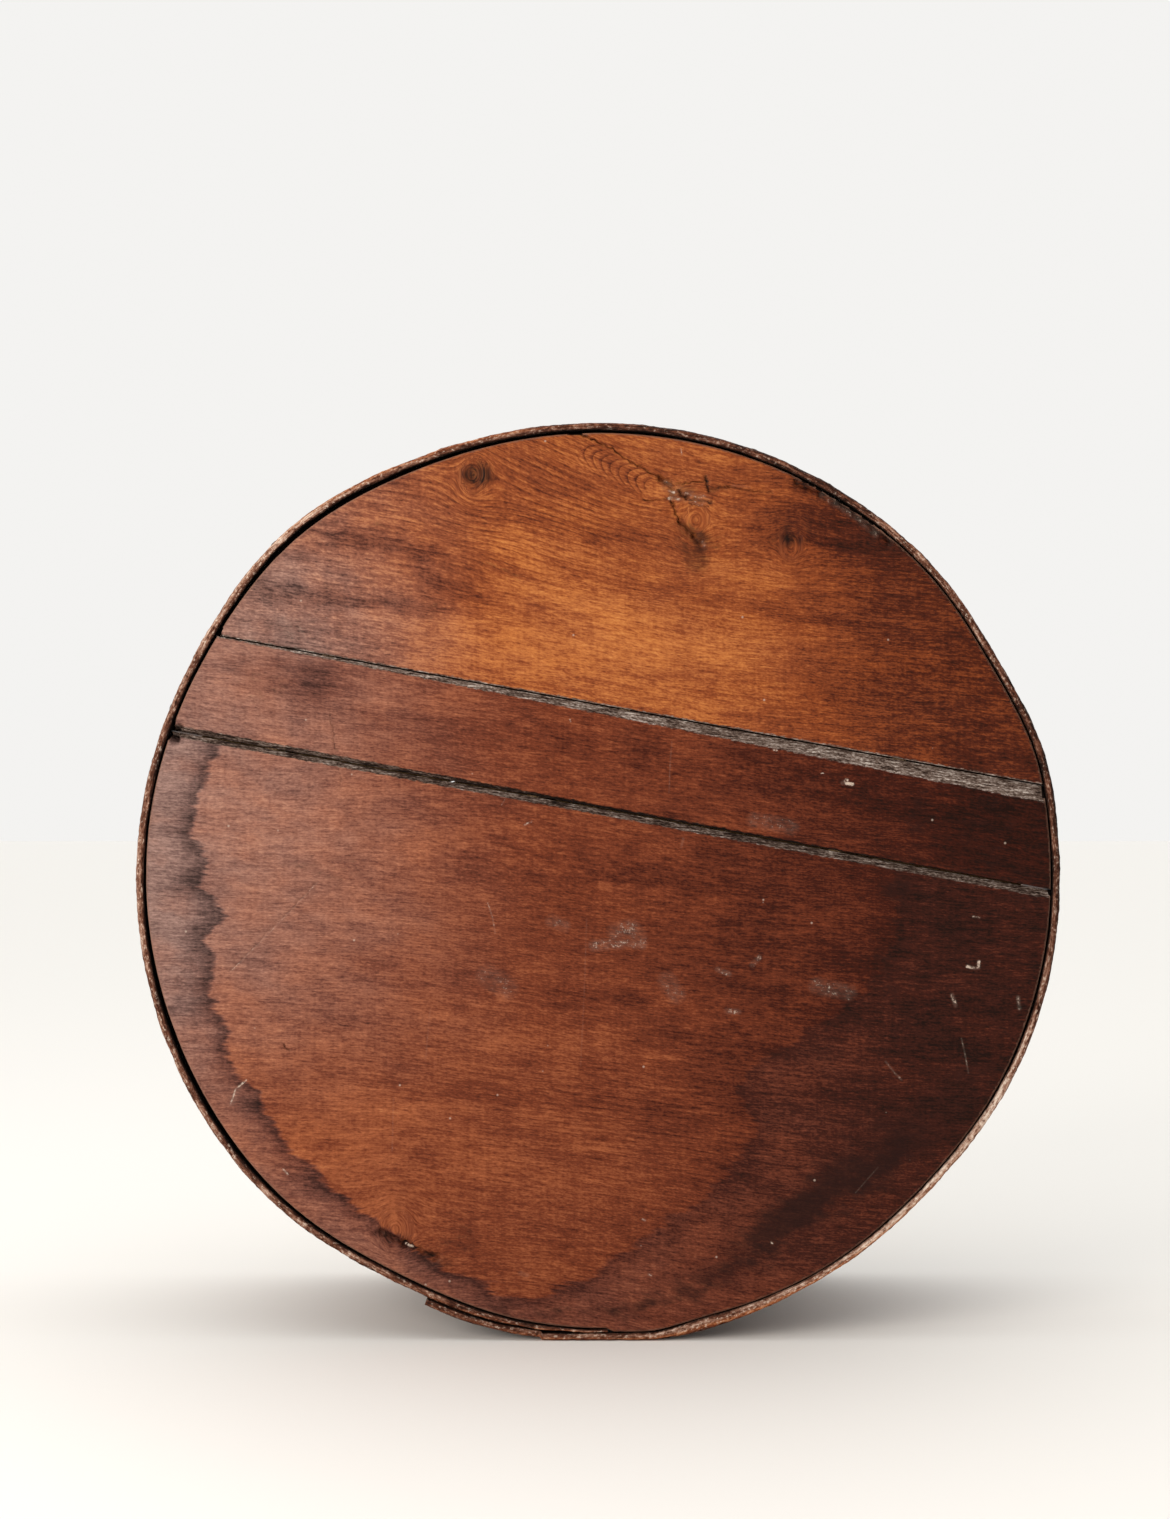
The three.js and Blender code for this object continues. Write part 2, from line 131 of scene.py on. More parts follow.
# Soft patches: u, v, half length, half width, turn, and how much darker (or, below 0, lighter) they are.
PATCHES = {
    "upper": [
        (10, 104, 78, 24, -10, -0.1), (-50, 104, 30, 12, -12, -0.04), (-112, 122, 42, 5, -7, 0.2),
        (-66, 133, 20, 9, -20, 0.14), (-100, 147, 34, 3, -8, 0.2), (-60, 124, 14, 5, -14, 0.14),
        (-126, 132, 18, 5, -10, -0.08), (-84, 112, 22, 4, -8, -0.1), (-30, 146, 40, 4, -14, -0.05),
        (-138, 104, 8, 6, 0, 0.1), (-72, 109, 4, 2.5, 0, 0.14), (-108, 111, 3, 3, 0, 0.12),
        (-20, 172, 60, 12, -12, 0.05), (10, 150, 40, 5, -10, 0.07), (20, 128, 50, 5, -12, 0.06),
        (74, 160, 40, 14, -30, 0.05), (100, 150, 26, 9, -20, 0.14), (70, 118, 40, 4, -9, 0.09),
        (120, 95, 36, 6, -6, 0.06), (70, 82, 60, 9, -8, 0.05),
    ],
    "middle": [
        (-122, 85, 16, 8, 0, 0.2), (-90, 78, 18, 4, -8, -0.08), (-140, 92, 25, 2.5, -6, 0.1),
        (-60, 60, 30, 8, -10, 0.07), (-20, 62, 40, 6, -10, 0.06), (30, 52, 60, 12, -10, 0.04),
        (110, 40, 50, 15, -10, 0.07),
    ],
    "lower": [
        (-120, 20, 50, 30, -10, -0.05), (-66, 40, 34, 6, -8, 0.08), (-94, -37, 13, 4, -3, 0.12),
        (-100, -18, 22, 5, -4, -0.06), (-20, -72, 60, 4, -6, -0.05), (0, -52, 50, 4, -6, 0.06),
        (-60, -92, 40, 4, -4, 0.05), (-47, -44, 14, 6, -10, 0.08), (-47, 11, 20, 8, 0, 0.06),
        (10, 0, 60, 16, -5, 0.06), (40, -30, 60, 25, -8, 0.04), (-20, -120, 70, 20, 0, -0.05),
        (-92, -162, 24, 6, -38, -0.08), (-112, -98, 16, 10, 0, -0.05), (-120, -122, 10, 8, 0, 0.04),
        (-178, -20, 14, 44, 0, 0.05), (150, -70, 60, 50, 30, 0.03),
    ],
}  # fmt: skip

# Where soot and spilt brine have left mottled, nearly black clouds: u, v, half length, half width,
# turn, strength.
CLOUDS = {
    "upper": [
        (41, 151, 8, 4, -52, 0.6), (44, 142, 9, 6, -70, 0.55), (36, 169, 9, 5, -20, 0.5),
        (86, 148, 12, 7, 0, 0.4), (87, 156, 5, 2, 0, 0.35), (108, 161, 20, 3, -38, 0.6),
        (-45, 136, 16, 2.5, -20, 0.45), (-128, 108, 6, 2, -20, 0.4), (-113, 156, 20, 1.6, -8, 0.55),
        (-94, 153.5, 5, 2, -8, 0.55), (-90, 122, 45, 1.6, -7, 0.5), (-142, 115, 9, 4, 0, 0.35),
        (-72, 116, 5, 1.5, 30, 0.4), (102, 84, 22, 0.8, -9, 0.5), (134, 140, 14, 6, -42, 0.5),
        (176, 96, 16, 5, -70, 0.55), (186, 78, 10, 3, -80, 0.6),
    ],
    "middle": [
        (-146, 84, 13, 7, 0, 0.5), (-164, 100, 8, 1.2, -6, 0.5), (-42, 61, 7, 1.1, -8, 0.9),
        (-20, 54, 6, 2, 0, 0.4), (139, 30, 6, 15, -20, 0.6), (176, 18, 30, 26, 0, 0.42),
        (60, 60, 20, 3, -10, 0.3),
    ],
    "lower": [
        (-118, 5, 17, 5, 0, 0.45), (-57, -157, 8, 5, -30, 0.55), (-68, -165, 7, 3, -30, 0.7),
        (131, -4, 8, 11, 0, 0.8), (126, -40, 6, 14, 10, 0.75), (104, -50, 12, 3, -8, 0.4),
        (62, -86, 8, 4, -30, 0.4), (92, -74, 26, 9, 14, 0.3), (112, -112, 30, 12, 38, 0.35),
        (128, -122, 18, 10, 40, 0.45), (84, -140, 26, 7, 30, 0.45), (106, -134, 34, 11, 34, 1.0),
        (76, -153, 26, 8, 34, 1.0), (40, -177, 30, 5, 20, 0.9), (0, -187, 34, 3.5, 3, 0.7),
        (-40, -186, 16, 3, -12, 0.5), (150, -100, 30, 12, 60, 0.3), (140, 30, 10, 8, 0, 0.35),
    ],
}  # fmt: skip

# Dark hearts of knots: u, v, half length, half width, and how dark.
KNOTS = {
    "upper": [
        (-53, 176, 7.4, 5.8, 0.92), (83, 148, 3.4, 3.2, 0.95), (82, 152.6, 1.5, 3.4, 0.5),
        (88, 147.4, 5, 1.2, 0.5), (45, 148, 5, 3.6, 0.75), (43, 140, 6, 7, 0.5),
        (37, 169, 6, 3.6, 0.45),
    ],
    "middle": [],
    "lower": [
        (-88, -156, 7, 2.4, 0.5), (-70, -166, 8, 3, 0.4),
    ],
}  # fmt: skip

# Dents and splits: path, half width, depth, and how dark they are.
SPLITS = {
    "upper": [
        ([(-13, 196), (-10, 194.2), (-5, 193)], 0.9, 1.8, 0.9),
        ([(-6, 193.3), (0, 190.2), (6.3, 187.6), (13.4, 182.6), (20.5, 178.8), (28, 174.6)], 0.34, 0.9, 0.75),
        ([(27, 174.6), (31, 172.4), (33, 170)], 1.3, 1.6, 0.7),
        ([(35.4, 169.6), (37.4, 167.4), (39, 166.6)], 0.9, 2.0, 0.9),
        ([(34, 172), (40, 173.4), (46, 173)], 0.45, 0.7, 0.8),
        ([(47, 174.6), (48, 172), (48.2, 169.6)], 0.7, 0.9, 0.95),
        ([(49, 169.6), (53, 170.4), (57, 171)], 0.8, 0.9, 0.8),
        ([(57, 171.2), (64, 170), (76, 168.4)], 0.4, 0.5, 0.6),
        ([(38, 166), (43, 165), (50, 164.6)], 0.6, 0.7, 0.7),
        ([(20, 165.6), (23, 164.8), (26, 165.2), (32, 166)], 0.3, 0.6, 0.65),
        ([(32, 165), (33.6, 159.6), (36, 156)], 0.45, 1.2, 0.7),
        ([(36, 156), (39, 152.4), (41, 149.6)], 0.9, 1.4, 0.7),
        ([(41, 149.6), (43, 147.4), (45, 146)], 1.5, 1.2, 0.75),
        ([(40, 164), (44, 163), (48, 162.6)], 0.4, 0.7, 0.35),
        ([(86, 173.6), (96, 169), (106, 163.6), (116, 156.6), (127, 147.4)], 1.9, 1.6, 0.95),
        ([(-170, 108), (-165, 105)], 1.6, 6.0, 1.0),
    ],
    "middle": [
        ([(-116.5, 72), (-115, 64), (-113.6, 56)], 0.25, 0.3, 0.55),
        ([(-190, 67.4), (-183.4, 64.8)], 1.9, 7.0, 1.0),
    ],
    "lower": [
        ([(-95, -153.4), (-90, -155.6), (-84, -158.4)], 1.5, 2.0, 0.9),
        ([(-84, -158.4), (-78, -160.6), (-70, -164)], 1.1, 1.4, 0.85),
        ([(-159, -39), (-142, -21), (-122, -1)], 0.3, 0.25, 0.2),
        ([(-113.6, 53), (-112, 44), (-111.4, 38)], 0.25, 0.2, 0.25),
        ([(-137, -71), (-134.5, -74)], 0.4, 0.6, 0.7), ([(-190, 64.4), (-184, 62)], 1.5, 6.0, 1.0),
    ],
}  # fmt: skip

# Pale marks where the finish has gone: path, half width, and how pale.
SCUFFS = {
    "upper": [
        ([(-137, 113), (-135, 109), (-133, 106)], 2.2, 0.3), ([(-130, 110), (-128, 106)], 0.9, 0.3),
        ([(31, 169.4), (33, 168.6)], 0.7, 0.8), ([(31, 166), (35, 165.6)], 0.9, 0.75),
        ([(38, 168), (42, 167), (46, 166.8)], 0.9, 0.55), ([(40, 164.4), (45, 163.4)], 0.9, 0.5),
        ([(29, 173.4), (32, 171.4)], 0.9, 0.5), ([(45.4, 147), (46.2, 145.6)], 0.7, 0.6),
        ([(30, 171), (38, 167), (46, 165)], 3.0, 0.22), ([(58, 171.6), (66, 171)], 0.4, 0.3),
        ([(98, 167), (106, 162.4), (113, 157.2), (121, 150.6)], 1.8, 0.36),
        ([(36, 187.5), (36.4, 185)], 0.35, 0.6), ([(120, 156.4), (122, 154.6)], 0.5, 0.5),
        ([(-6, 194.6), (-4.6, 194)], 0.7, 0.6),
    ],
    "middle": [
        ([(106.4, 42.2), (108, 43.4)], 0.9, 0.8), ([(108, 42), (110.6, 41.6)], 0.8, 0.9),
        ([(32, 60), (31.4, 52), (30.8, 38)], 0.3, 0.35), ([(76.4, 56.4), (77.6, 56.4)], 0.5, 0.8),
        ([(97, 46.4), (98, 46.4)], 0.3, 0.8), ([(68, 26), (84, 23)], 3.4, 0.3),
        ([(-166, 86), (-150, 98)], 0.3, 0.16),
    ],
    "lower": [
        ([(-160, -40), (-142, -22), (-122, -1)], 0.3, 0.42),
        ([(-160, -98), (-157.6, -91), (-153, -87)], 0.5, 0.7), ([(-159, -97), (-156, -90)], 1.2, 0.28),
        ([(-73, -56), (-74, -66), (-75, -78)], 0.35, 0.2), ([(-89, -95), (-89.6, -118)], 0.3, 0.22),
        ([(160.6, -37.6), (163.6, -38.4), (165.4, -38.2), (165.6, -35.4)], 0.75, 1.0),
        ([(154, -50), (155.4, -54.6)], 0.9, 0.6), ([(182.6, -51), (183.2, -56)], 0.9, 0.5),
        ([(158, -69), (159.6, -76), (161, -84)], 0.35, 0.5),
        ([(125, -79), (129, -84), (132, -87)], 0.45, 0.42), ([(112, -136), (121.7, -125)], 0.3, 0.3),
        ([(-2, -28.6), (6, -28), (14, -27), (19, -28)], 2.4, 0.42),
        ([(8, -23), (14, -21), (17, -25)], 4.0, 0.38), ([(-20, -18), (-15, -20)], 3.0, 0.28),
        ([(-48, -42), (-40, -47)], 5.0, 0.26), ([(-5, -17), (-6, -48), (-7.6, -81)], 0.3, 0.2),
        ([(67, -37), (70, -33.6)], 1.2, 0.4), ([(56, -57), (61, -57.4)], 1.3, 0.42),
        ([(30, -44), (34, -50)], 4.0, 0.3), ([(95, -46), (109, -49)], 3.4, 0.34),
        ([(52, -39), (57, -41)], 1.2, 0.4), ([(-83.6, -158.6), (-80.6, -159.6)], 0.6, 0.85),
        ([(-48, -10), (-46, -16), (-44.8, -23)], 0.35, 0.45), ([(-32, 24), (-29, 25.4)], 0.5, 0.5),
        ([(-42, 32.6), (-40, 36)], 0.3, 0.4), ([(36, 14), (37, 18)], 0.6, 0.3),
        ([(-34, -171), (-31, -172)], 1.0, 0.35), ([(19.4, -147.6), (20.4, -148)], 0.6, 0.6),
        ([(22, -171.6), (23, -172)], 0.6, 0.6), ([(75.4, -157.6), (75.8, -158)], 0.5, 0.7),
        ([(-137, -126), (-135, -128)], 0.6, 0.5), ([(163, -16), (166, -16.4)], 0.5, 0.5),
    ],
}  # fmt: skip


def line_at(line, u):
    """The height of a seam line at u."""
    return line[0] + line[1] * u


def smoothstep(x, low, high):
    share = np.clip((x - low) / (high - low), 0, 1)
    return share * share * (3 - 2 * share)


def distance_to_path(u, v, path):
    """The distance of each point from a path of straight pieces."""
    best = np.full(u.shape, 1e9)
    for (ua, va), (ub, vb) in zip(path[:-1], path[1:]):
        du, dv = ub - ua, vb - va
        share = np.clip(((u - ua) * du + (v - va) * dv) / (du * du + dv * dv), 0, 1)
        best = np.minimum(best, np.hypot(u - ua - share * du, v - va - share * dv))
    return best


def inside_outline(u, v, outline):
    """Which points are inside a closed outline."""
    inside = np.zeros(u.shape, bool)
    for (ua, va), (ub, vb) in zip(outline, outline[1:] + outline[:1]):
        crosses = (va > v) != (vb > v)
        rise = vb - va if vb != va else 1e-9
        inside ^= crosses & (u < (ub - ua) * (v - va) / rise + ua)
    return inside


def waves(u, v, scale, seed):
    """A smooth random height from about -1 to 1, from a few crossing waves of about this length."""
    turn = np.random.default_rng(seed)
    total = np.zeros(u.shape)
    for _ in range(7):
        angle, phase = turn.uniform(0, math.tau, 2)
        length = scale * turn.uniform(0.6, 1.7)
        total += np.sin((u * math.cos(angle) + v * math.sin(angle)) * math.tau / length + phase)
    return total / 3.5


# ---- the grain of the boards -------------------------------------------------


def round_knot(across, u, v, at, radius):
    """The grain parts round a knot as water does round a post, and closes into ovals inside it."""
    ku, kv = at
    far = np.hypot(u - ku, (v - kv) * 0.8)
    inside = far < radius
    push = np.minimum(1, (radius / np.maximum(far, 1e-6)) ** 2)
    return np.where(inside, across - (v - kv) + 0.8 * far, across - push * (v - kv))


def fan(u, v, steep, middle, width):
    """Grain that falls more steeply to the right near one place."""
    return steep * width * np.tanh((u - middle) / width) * (0.35 + 0.85 * smoothstep(v, 100, 185))


def grain_upper(u, v):
    across = v + 0.1 * u + fan(u, v, 0.26, -12, 45)
    across = round_knot(across, u, v, (-54, 176), 6)
    across = round_knot(across, u, v, (43, 157), 5)
    across = round_knot(across, u, v, (84, 146), 5)
    return across + 0.8 * waves(u * 0.35, v, 30, 5)


def grain_middle(u, v):
    return v + 0.12 * u + 1.2 * waves(u * 0.25, v, 26, 6)


def grain_lower(u, v):
    across = v + 0.04 * u + 8 * np.tanh(u / 90)
    across = round_knot(across, u, v, (-88, -152), 7)
    return across + 2.0 * waves(u * 0.3, v, 60, 7)


SCALE_GAP = 4.3
SCALE_DEEP = 4.5


def scales_of(name, u, v):
    """Beside the split each ring turns round and meets it on edge, like the scales of a fish: how
    plainly they show, and the distance that their spacing is measured along."""
    along = 0.887 * (u + 10) - 0.461 * (v - 194)
    below = -0.461 * (u + 10) - 0.887 * (v - 194)
    shown = smoothstep(below, -0.4, 0.6) * (1 - smoothstep(below, 7, 13))
    shown = shown * smoothstep(along, 2, 8) * (1 - smoothstep(along, 35, 42))
    swung = along + SCALE_DEEP * (1 - ((below - SCALE_DEEP) / SCALE_DEEP) ** 2)
    return (shown if name == "upper" else 0 * u), swung


def near(u, v, at, half):
    """1 at a place, falling to 0 over half a length across u and v."""
    return np.exp(-(((u - at[0]) / half[0]) ** 2) - ((v - at[1]) / half[1]) ** 2)


def rings_of(name, u, v):
    """How plainly the growth rings show."""
    if name == "upper":
        plain = 0.18 + 0.5 * near(u, v, (-34, 165), (58, 30))
        return plain * (1 - 0.9 * scales_of(name, u, v)[0])
    if name == "lower":
        return 0.10 + 0.35 * near(u, v, (10, -104), (60, 24))
    return 0.14 + 0 * u


def painted_sheen_of(name, u, v):
    """How strongly a painted sheen greys the wood, standing for the window's reflection: strongest towards
    the left, the side the light comes from.
    """
    if name == "upper":
        return 0.85 * smoothstep(-u, 40, 150) * (1 - 0.5 * smoothstep(v, 110, 170)) + 0.08
    high = smoothstep(v, -120, -10) if name == "lower" else 1.0
    return 0.62 * smoothstep(-u, 10, 180) * high + 0.05


GRAIN = {"upper": grain_upper, "middle": grain_middle, "lower": grain_lower}


def sum_of(spots, u, v):
    """The sum of some soft oval spots, their outlines made ragged."""
    u, v = u + 4 * waves(u, v, 23, 31) + 1.5 * waves(u, v, 7, 32), v + 2 * waves(u, v, 19, 33)
    total = np.zeros(u.shape)
    for at_u, at_v, length, width, turn, strength in spots:
        c, s = math.cos(math.radians(turn)), math.sin(math.radians(turn))
        along = ((u - at_u) * c + (v - at_v) * s) / length
        over = (-(u - at_u) * s + (v - at_v) * c) / width
        total = total + strength * np.exp(-(along**2 + over**2))
    return total


def tone_and_painted_shade_of(name, u, v):
    """How light the wood is, before grain and tide marks. It grows darker to the right, away from the window:
    partly the wood's own darkening, partly painted shade of the window's light falling off.
    """
    if name == "upper":
        tone = 0.505 - 0.27 * smoothstep(u, 45, 175) - 0.05 * smoothstep(-u, 60, 120)
        tone = tone - 0.12 * smoothstep(u, 70, 130) * smoothstep(v, 105, 160)
    elif name == "middle":
        tone = 0.45 - 0.0008 * u - 0.10 * smoothstep(u, 50, 120) - 0.09 * smoothstep(u, 130, 170)
    else:
        tone = 0.455 - 0.0008 * u - 0.07 * smoothstep(u, 20, 70) - 0.09 * smoothstep(u, 70, 150)
    return tone - sum_of(PATCHES[name], u, v)


# ---- small helpers -----------------------------------------------------------


def fill(node, inputs):
    """Fills a node's inputs with values or links."""
    for key, value in inputs.items():
        if isinstance(value, bpy.types.NodeSocket):
            node.id_data.links.new(value, node.inputs[key])
        else:
            node.inputs[key].default_value = value


# Inputs go by name, or by number where names repeat. Math: 0, 1 and 2 are its terms. MapRange: 0 is read,
# from 1 to 2, and given out from 3 to 4. Mix of colours: 0 is the share, 6 and 7 are the colours.
def add_node(tree, kind, inputs=None, out=0, stops=None, **settings):
    """Adds a node with its settings, fills its inputs, and gives one of its outputs."""
    made = tree.nodes.new("ShaderNode" + kind)
    for key, value in settings.items():
        setattr(made, key, value)
    fill(made, inputs or {})
    if stops:
        ramp = made.color_ramp
        while len(ramp.elements) < len(stops):
            ramp.elements.new(1.0)
        for element, (place, colour) in zip(ramp.elements, stops):
            element.position = place
            element.color = srgb(colour) if isinstance(colour, str) else (colour,) * 3 + (1.0,)
    return made.outputs[out]


def start_material(name):
    """A new material, its shader node, and add_node for its tree."""
    material = bpy.data.materials.new(name)
    material.use_nodes = True
    tree = material.node_tree
    return material, tree.nodes["Principled BSDF"], partial(add_node, tree)


def deselect():
    bpy.ops.object.select_all(action="DESELECT")


def mode(kind):
    bpy.ops.object.mode_set(mode=kind)


def pull(x=0, y=0, z=0):
    """In edit mode, extrudes what is selected, by this much."""
    bpy.ops.mesh.extrude_region_move(TRANSFORM_OT_translate={"value": (x, y, z)})


def turn_faces_out():
    """In edit mode, points every face outwards, and leaves edit mode."""
    bpy.ops.mesh.select_all(action="SELECT")
    bpy.ops.mesh.normals_make_consistent(inside=False)
    mode("OBJECT")


def cylinder_along_y(name, sides, radius, low, high, x=0, z=0):
    """A closed cylinder from one place on y to another, its place put into its mesh."""
    bpy.ops.mesh.primitive_cylinder_add(
        vertices=sides,
        radius=radius,
        depth=high - low,
        location=(x, (low + high) / 2, z),
        rotation=(math.pi / 2, 0, 0),
    )
    made = new_piece(name)
    settle(made)
    return made


def bearing(u, v):
    """The angle of each place from the axis, in degrees."""
    return np.degrees(np.arctan2(v, u))


def bell(x):
    """1 at nought, falling smoothly on both sides."""
    return np.exp(-(x**2))


def only(piece):
    """Makes a piece the one that is selected and active."""
    deselect()
    piece.select_set(True)
    bpy.context.view_layer.objects.active = piece


def new_piece(name):
    """The object that the last operator added, named."""
    piece = bpy.context.object
    piece.name = name
    piece.data.name = name
    return piece


def places(piece):
    """A piece's vertices as an array of places."""
    flat = np.zeros(len(piece.data.vertices) * 3)
    piece.data.vertices.foreach_get("co", flat)
    return flat.reshape(-1, 3)


def set_places(piece, spots):
    piece.data.vertices.foreach_set("co", spots.ravel())
    piece.data.update()


def on_face(piece):
    """The u, v and depth below the base's face of each vertex, in millimetres."""
    spots = places(piece)
    return spots[:, 0] / MM, (spots[:, 2] - AXIS_Z) / MM, (spots[:, 1] - FACE_Y) / MM


def pick(piece, test):
    """In edit mode, selects just the faces whose centre and normal pass the test."""
    bpy.ops.mesh.select_mode(type="FACE")
    bpy.ops.mesh.select_all(action="DESELECT")
    mode("OBJECT")
    for face in piece.data.polygons:
        face.select = test(face.center, face.normal)
    mode("EDIT")


def store(piece, name, kind, values):
    """Writes an attribute that a material reads, one value to a vertex."""
    attribute = piece.data.attributes.new(name, kind, "POINT")
    field = "vector" if kind == "FLOAT_VECTOR" else "value"
    attribute.data.foreach_set(field, np.ascontiguousarray(values, np.float32).ravel())


def settle(piece):
    """Puts a piece's place into its mesh."""
    only(piece)
    bpy.ops.object.transform_apply(location=True, rotation=True, scale=True)


def smooth(piece, degrees=35):
    only(piece)
    bpy.ops.object.shade_smooth_by_angle(angle=math.radians(degrees))


def cut(piece, other, operation):
    """Cuts a piece by another closed one, which is then thrown away."""
    only(piece)
    modifier = piece.modifiers.new("cut", "BOOLEAN")
    modifier.operation = operation
    modifier.object = other
    modifier.solver = "MANIFOLD"
    bpy.ops.object.modifier_apply(modifier=modifier.name)
    bpy.data.objects.remove(other)


def ease(piece, width, segments=3, degrees=50):
    """Rounds the edges of a piece that are sharper than an angle."""
    only(piece)
    bevel = piece.modifiers.new("eased", "BEVEL")
    bevel.width = width * MM
    bevel.segments = segments
    bevel.limit_method = "ANGLE"
    bevel.angle_limit = math.radians(degrees)
    bpy.ops.object.modifier_apply(modifier=bevel.name)


def hand_over(piece, material, body, slot, *nodes):
    """Finishes a piece: its material, the body it rides on and the frame's nodes that it stands for."""
    piece.data.materials.clear()
    piece.data.materials.append(material)
    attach(piece, body)
    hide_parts(*nodes)


# ---- the band ----------------------------------------------------------------


def plain_radius(degrees):
    """Outer radius of the single band at an angle."""
    radius = BAND_RADIUS + BAND_OVAL * np.cos(np.radians(2 * degrees))
    for at, width, height in BAND_SWELLS:
        past = (degrees - at + 180) % 360 - 180
        radius = radius + height * bell(past / width)
    return radius


def strip_radii(run):
    """Inner and outer radius of the strip, run degrees on from its inner end."""
    run = np.asarray(run, float)
    degrees = INNER_END - run
    plain = plain_radius(degrees)
    feather = FEATHER_THICK + (BAND_THICK - FEATHER_THICK) * smoothstep(run, 0, FEATHER_RUN)
    feathered = plain - BAND_THICK + feather

    past_foot = 270 - (degrees + 360)
    corner = FOOT_DISTANCE / math.cos(math.radians(FOOT_HALF))
    share = smoothstep(past_foot, -FOOT_HALF - FOOT_BLEND, -FOOT_HALF)
    outer = plain + (corner - plain) * share * (past_foot < -FOOT_HALF)
    on_foot = np.abs(past_foot) <= FOOT_HALF
    outer = np.where(on_foot, FOOT_DISTANCE / np.cos(np.radians(past_foot)), outer)
    under = FEATHER_THICK + (BAND_THICK - FEATHER_THICK) * smoothstep(run - 360, 0, FEATHER_RUN)
    over_lap = plain + under + LAYER_GAP
    outer = np.where(run >= 360, np.maximum(outer, over_lap), outer)
    shaved = smoothstep(run, SHAVED_FROM, SHAVED_TO)
    inner = plain - BAND_THICK + shaved * (outer - plain)
    first_half = run < 180
    return np.where(first_half, plain - BAND_THICK, inner), np.where(first_half, feathered, outer)


def outer_radius(degrees):
    """Outer radius of the outermost layer at an angle."""
    run = (INNER_END - degrees) % 360
    return float(strip_radii(run + 360 if run < LAP else run)[1])


def inner_radius(degrees):
    """Inner radius of the innermost layer at an angle."""
    return strip_radii((INNER_END - degrees) % 360)[0]


def base_radius(degrees):
    """Radius of the base at an angle, measured on the frame's three boards."""
    return np.interp(degrees % 360, BASE_ANGLES, BASE_RADII, period=360)


def face_radius(degrees):
    """Radius of the base's face, which keeps to the band where its inner side moves out over the lap."""
    return base_radius(degrees) + inner_radius(degrees) - (plain_radius(degrees) - BAND_THICK)


def measure_base():
    """The angles and radii of the points round the frame's boards."""
    found = {}
    for name in ("base_upper_board", "base_middle_board", "base_lower_board"):
        u, v, depth = on_face(frame["nodes"][name])
        radius = np.hypot(u, v)
        for i in np.nonzero((depth > 8) & (radius > 0.92 * BAND_RADIUS))[0]:
            found[round(math.degrees(math.atan2(v[i], u[i])) % 360, 2)] = radius[i]
    angles = sorted(found)
    return np.array(angles), np.array([found[a] for a in angles])


BASE_ANGLES, BASE_RADII = measure_base()


# ---- the base's boards -------------------------------------------------------

# Each board's lower joint, lower arris, its fall, upper arris, upper joint and its fall. Where a board
# runs out to the band instead, both of its lines lie beyond it.
BEYOND = 205.0


def moved(line, up):
    return (line[0] + up, line[1])


BOARDS = {
    "upper": (
        moved(UPPER_JOINT, SEAM_GAP / 2),
        moved(UPPER_JOINT, SEAM_GAP / 2 + WORN_ARRIS),
        45.0,
        (BEYOND, 0),
        (BEYOND, 0),
        0.0,
    ),
    "middle": (
        moved(LOWER_JOINT, SEAM_GAP / 2),
        MIDDLE_LOW_BEVEL[:2],
        MIDDLE_LOW_BEVEL[2],
        MIDDLE_TOP_BEVEL[:2],
        moved(UPPER_JOINT, -SEAM_GAP / 2),
        MIDDLE_TOP_BEVEL[2],
    ),
    "lower": (
        (-BEYOND, 0),
        (-BEYOND, 0),
        0.0,
        LOWER_TOP_BEVEL[:2],
        moved(LOWER_JOINT, -SEAM_GAP / 2),
        LOWER_TOP_BEVEL[2],
    ),
}
GRID = 1.3
BEVEL_ROWS = 4
LEAST_BEVEL = 0.05


def board_blank(name):
    """A slab over the whole board, its face a fine grid whose rows follow the seams."""
    low_joint, low_arris, low_fall, high_arris, high_joint, high_fall = BOARDS[name]
    tall = max(line_at(high_joint, -BEYOND) - line_at(low_joint, -BEYOND), high_joint[0] - low_joint[0])
    rows = int(tall / GRID) + 2 * BEVEL_ROWS
    columns = int(2 * BEYOND / GRID)
    bpy.ops.mesh.primitive_grid_add(x_subdivisions=columns, y_subdivisions=rows, size=1)
    blank = new_piece(f"{name}_base_board")

    spots = places(blank)
    u = spots[:, 0] * 2 * BEYOND
    row = (spots[:, 1] + 0.5) * rows
    low_share = np.clip(row / BEVEL_ROWS, 0, 1)
    high_share = np.clip((row - rows + BEVEL_ROWS) / BEVEL_ROWS, 0, 1)
    share = np.clip((row - BEVEL_ROWS) / (rows - 2 * BEVEL_ROWS), 0, 1)
    joint_low, joint_high = line_at(low_joint, u), line_at(high_joint, u)
    face_low = np.maximum(line_at(low_arris, u), joint_low + LEAST_BEVEL * (low_fall > 0))
    face_high = np.minimum(line_at(high_arris, u), joint_high - LEAST_BEVEL * (high_fall > 0))
    v = face_low + share * (face_high - face_low)
    v = v - (1 - low_share) * (face_low - joint_low) + high_share * (joint_high - face_high)
    fall_low = (1 - low_share) * (face_low - joint_low) * math.tan(math.radians(low_fall))
    fall_high = high_share * (joint_high - face_high) * math.tan(math.radians(high_fall))
    set_places(blank, np.stack([u * MM, FACE_Y + (fall_low + fall_high) * MM, AXIS_Z + v * MM], 1))

    only(blank)
    mode("EDIT")
    bpy.ops.mesh.select_all(action="SELECT")
    pull(y=BACK_Y - FACE_Y)
    mode("OBJECT")
    spots = places(blank)
    chosen = np.zeros(len(spots), bool)
    blank.data.vertices.foreach_get("select", chosen)
    spots[chosen, 1] = BACK_Y
    set_places(blank, spots)
    mode("EDIT")
    bpy.ops.mesh.dissolve_faces()
    turn_faces_out()
    return blank


RIM_ARRIS = 0.7
SHOULDER_FROM, SHOULDER_TO = 3.5, 5.5
DIRT_GAP = 0.12
# Below this depth a face belongs to a joint or to the back, and within this of the outline it faces the band.
JOINT_DEEP, BY_THE_BAND = 14, 0.15
BACK_DEEP = 14.7
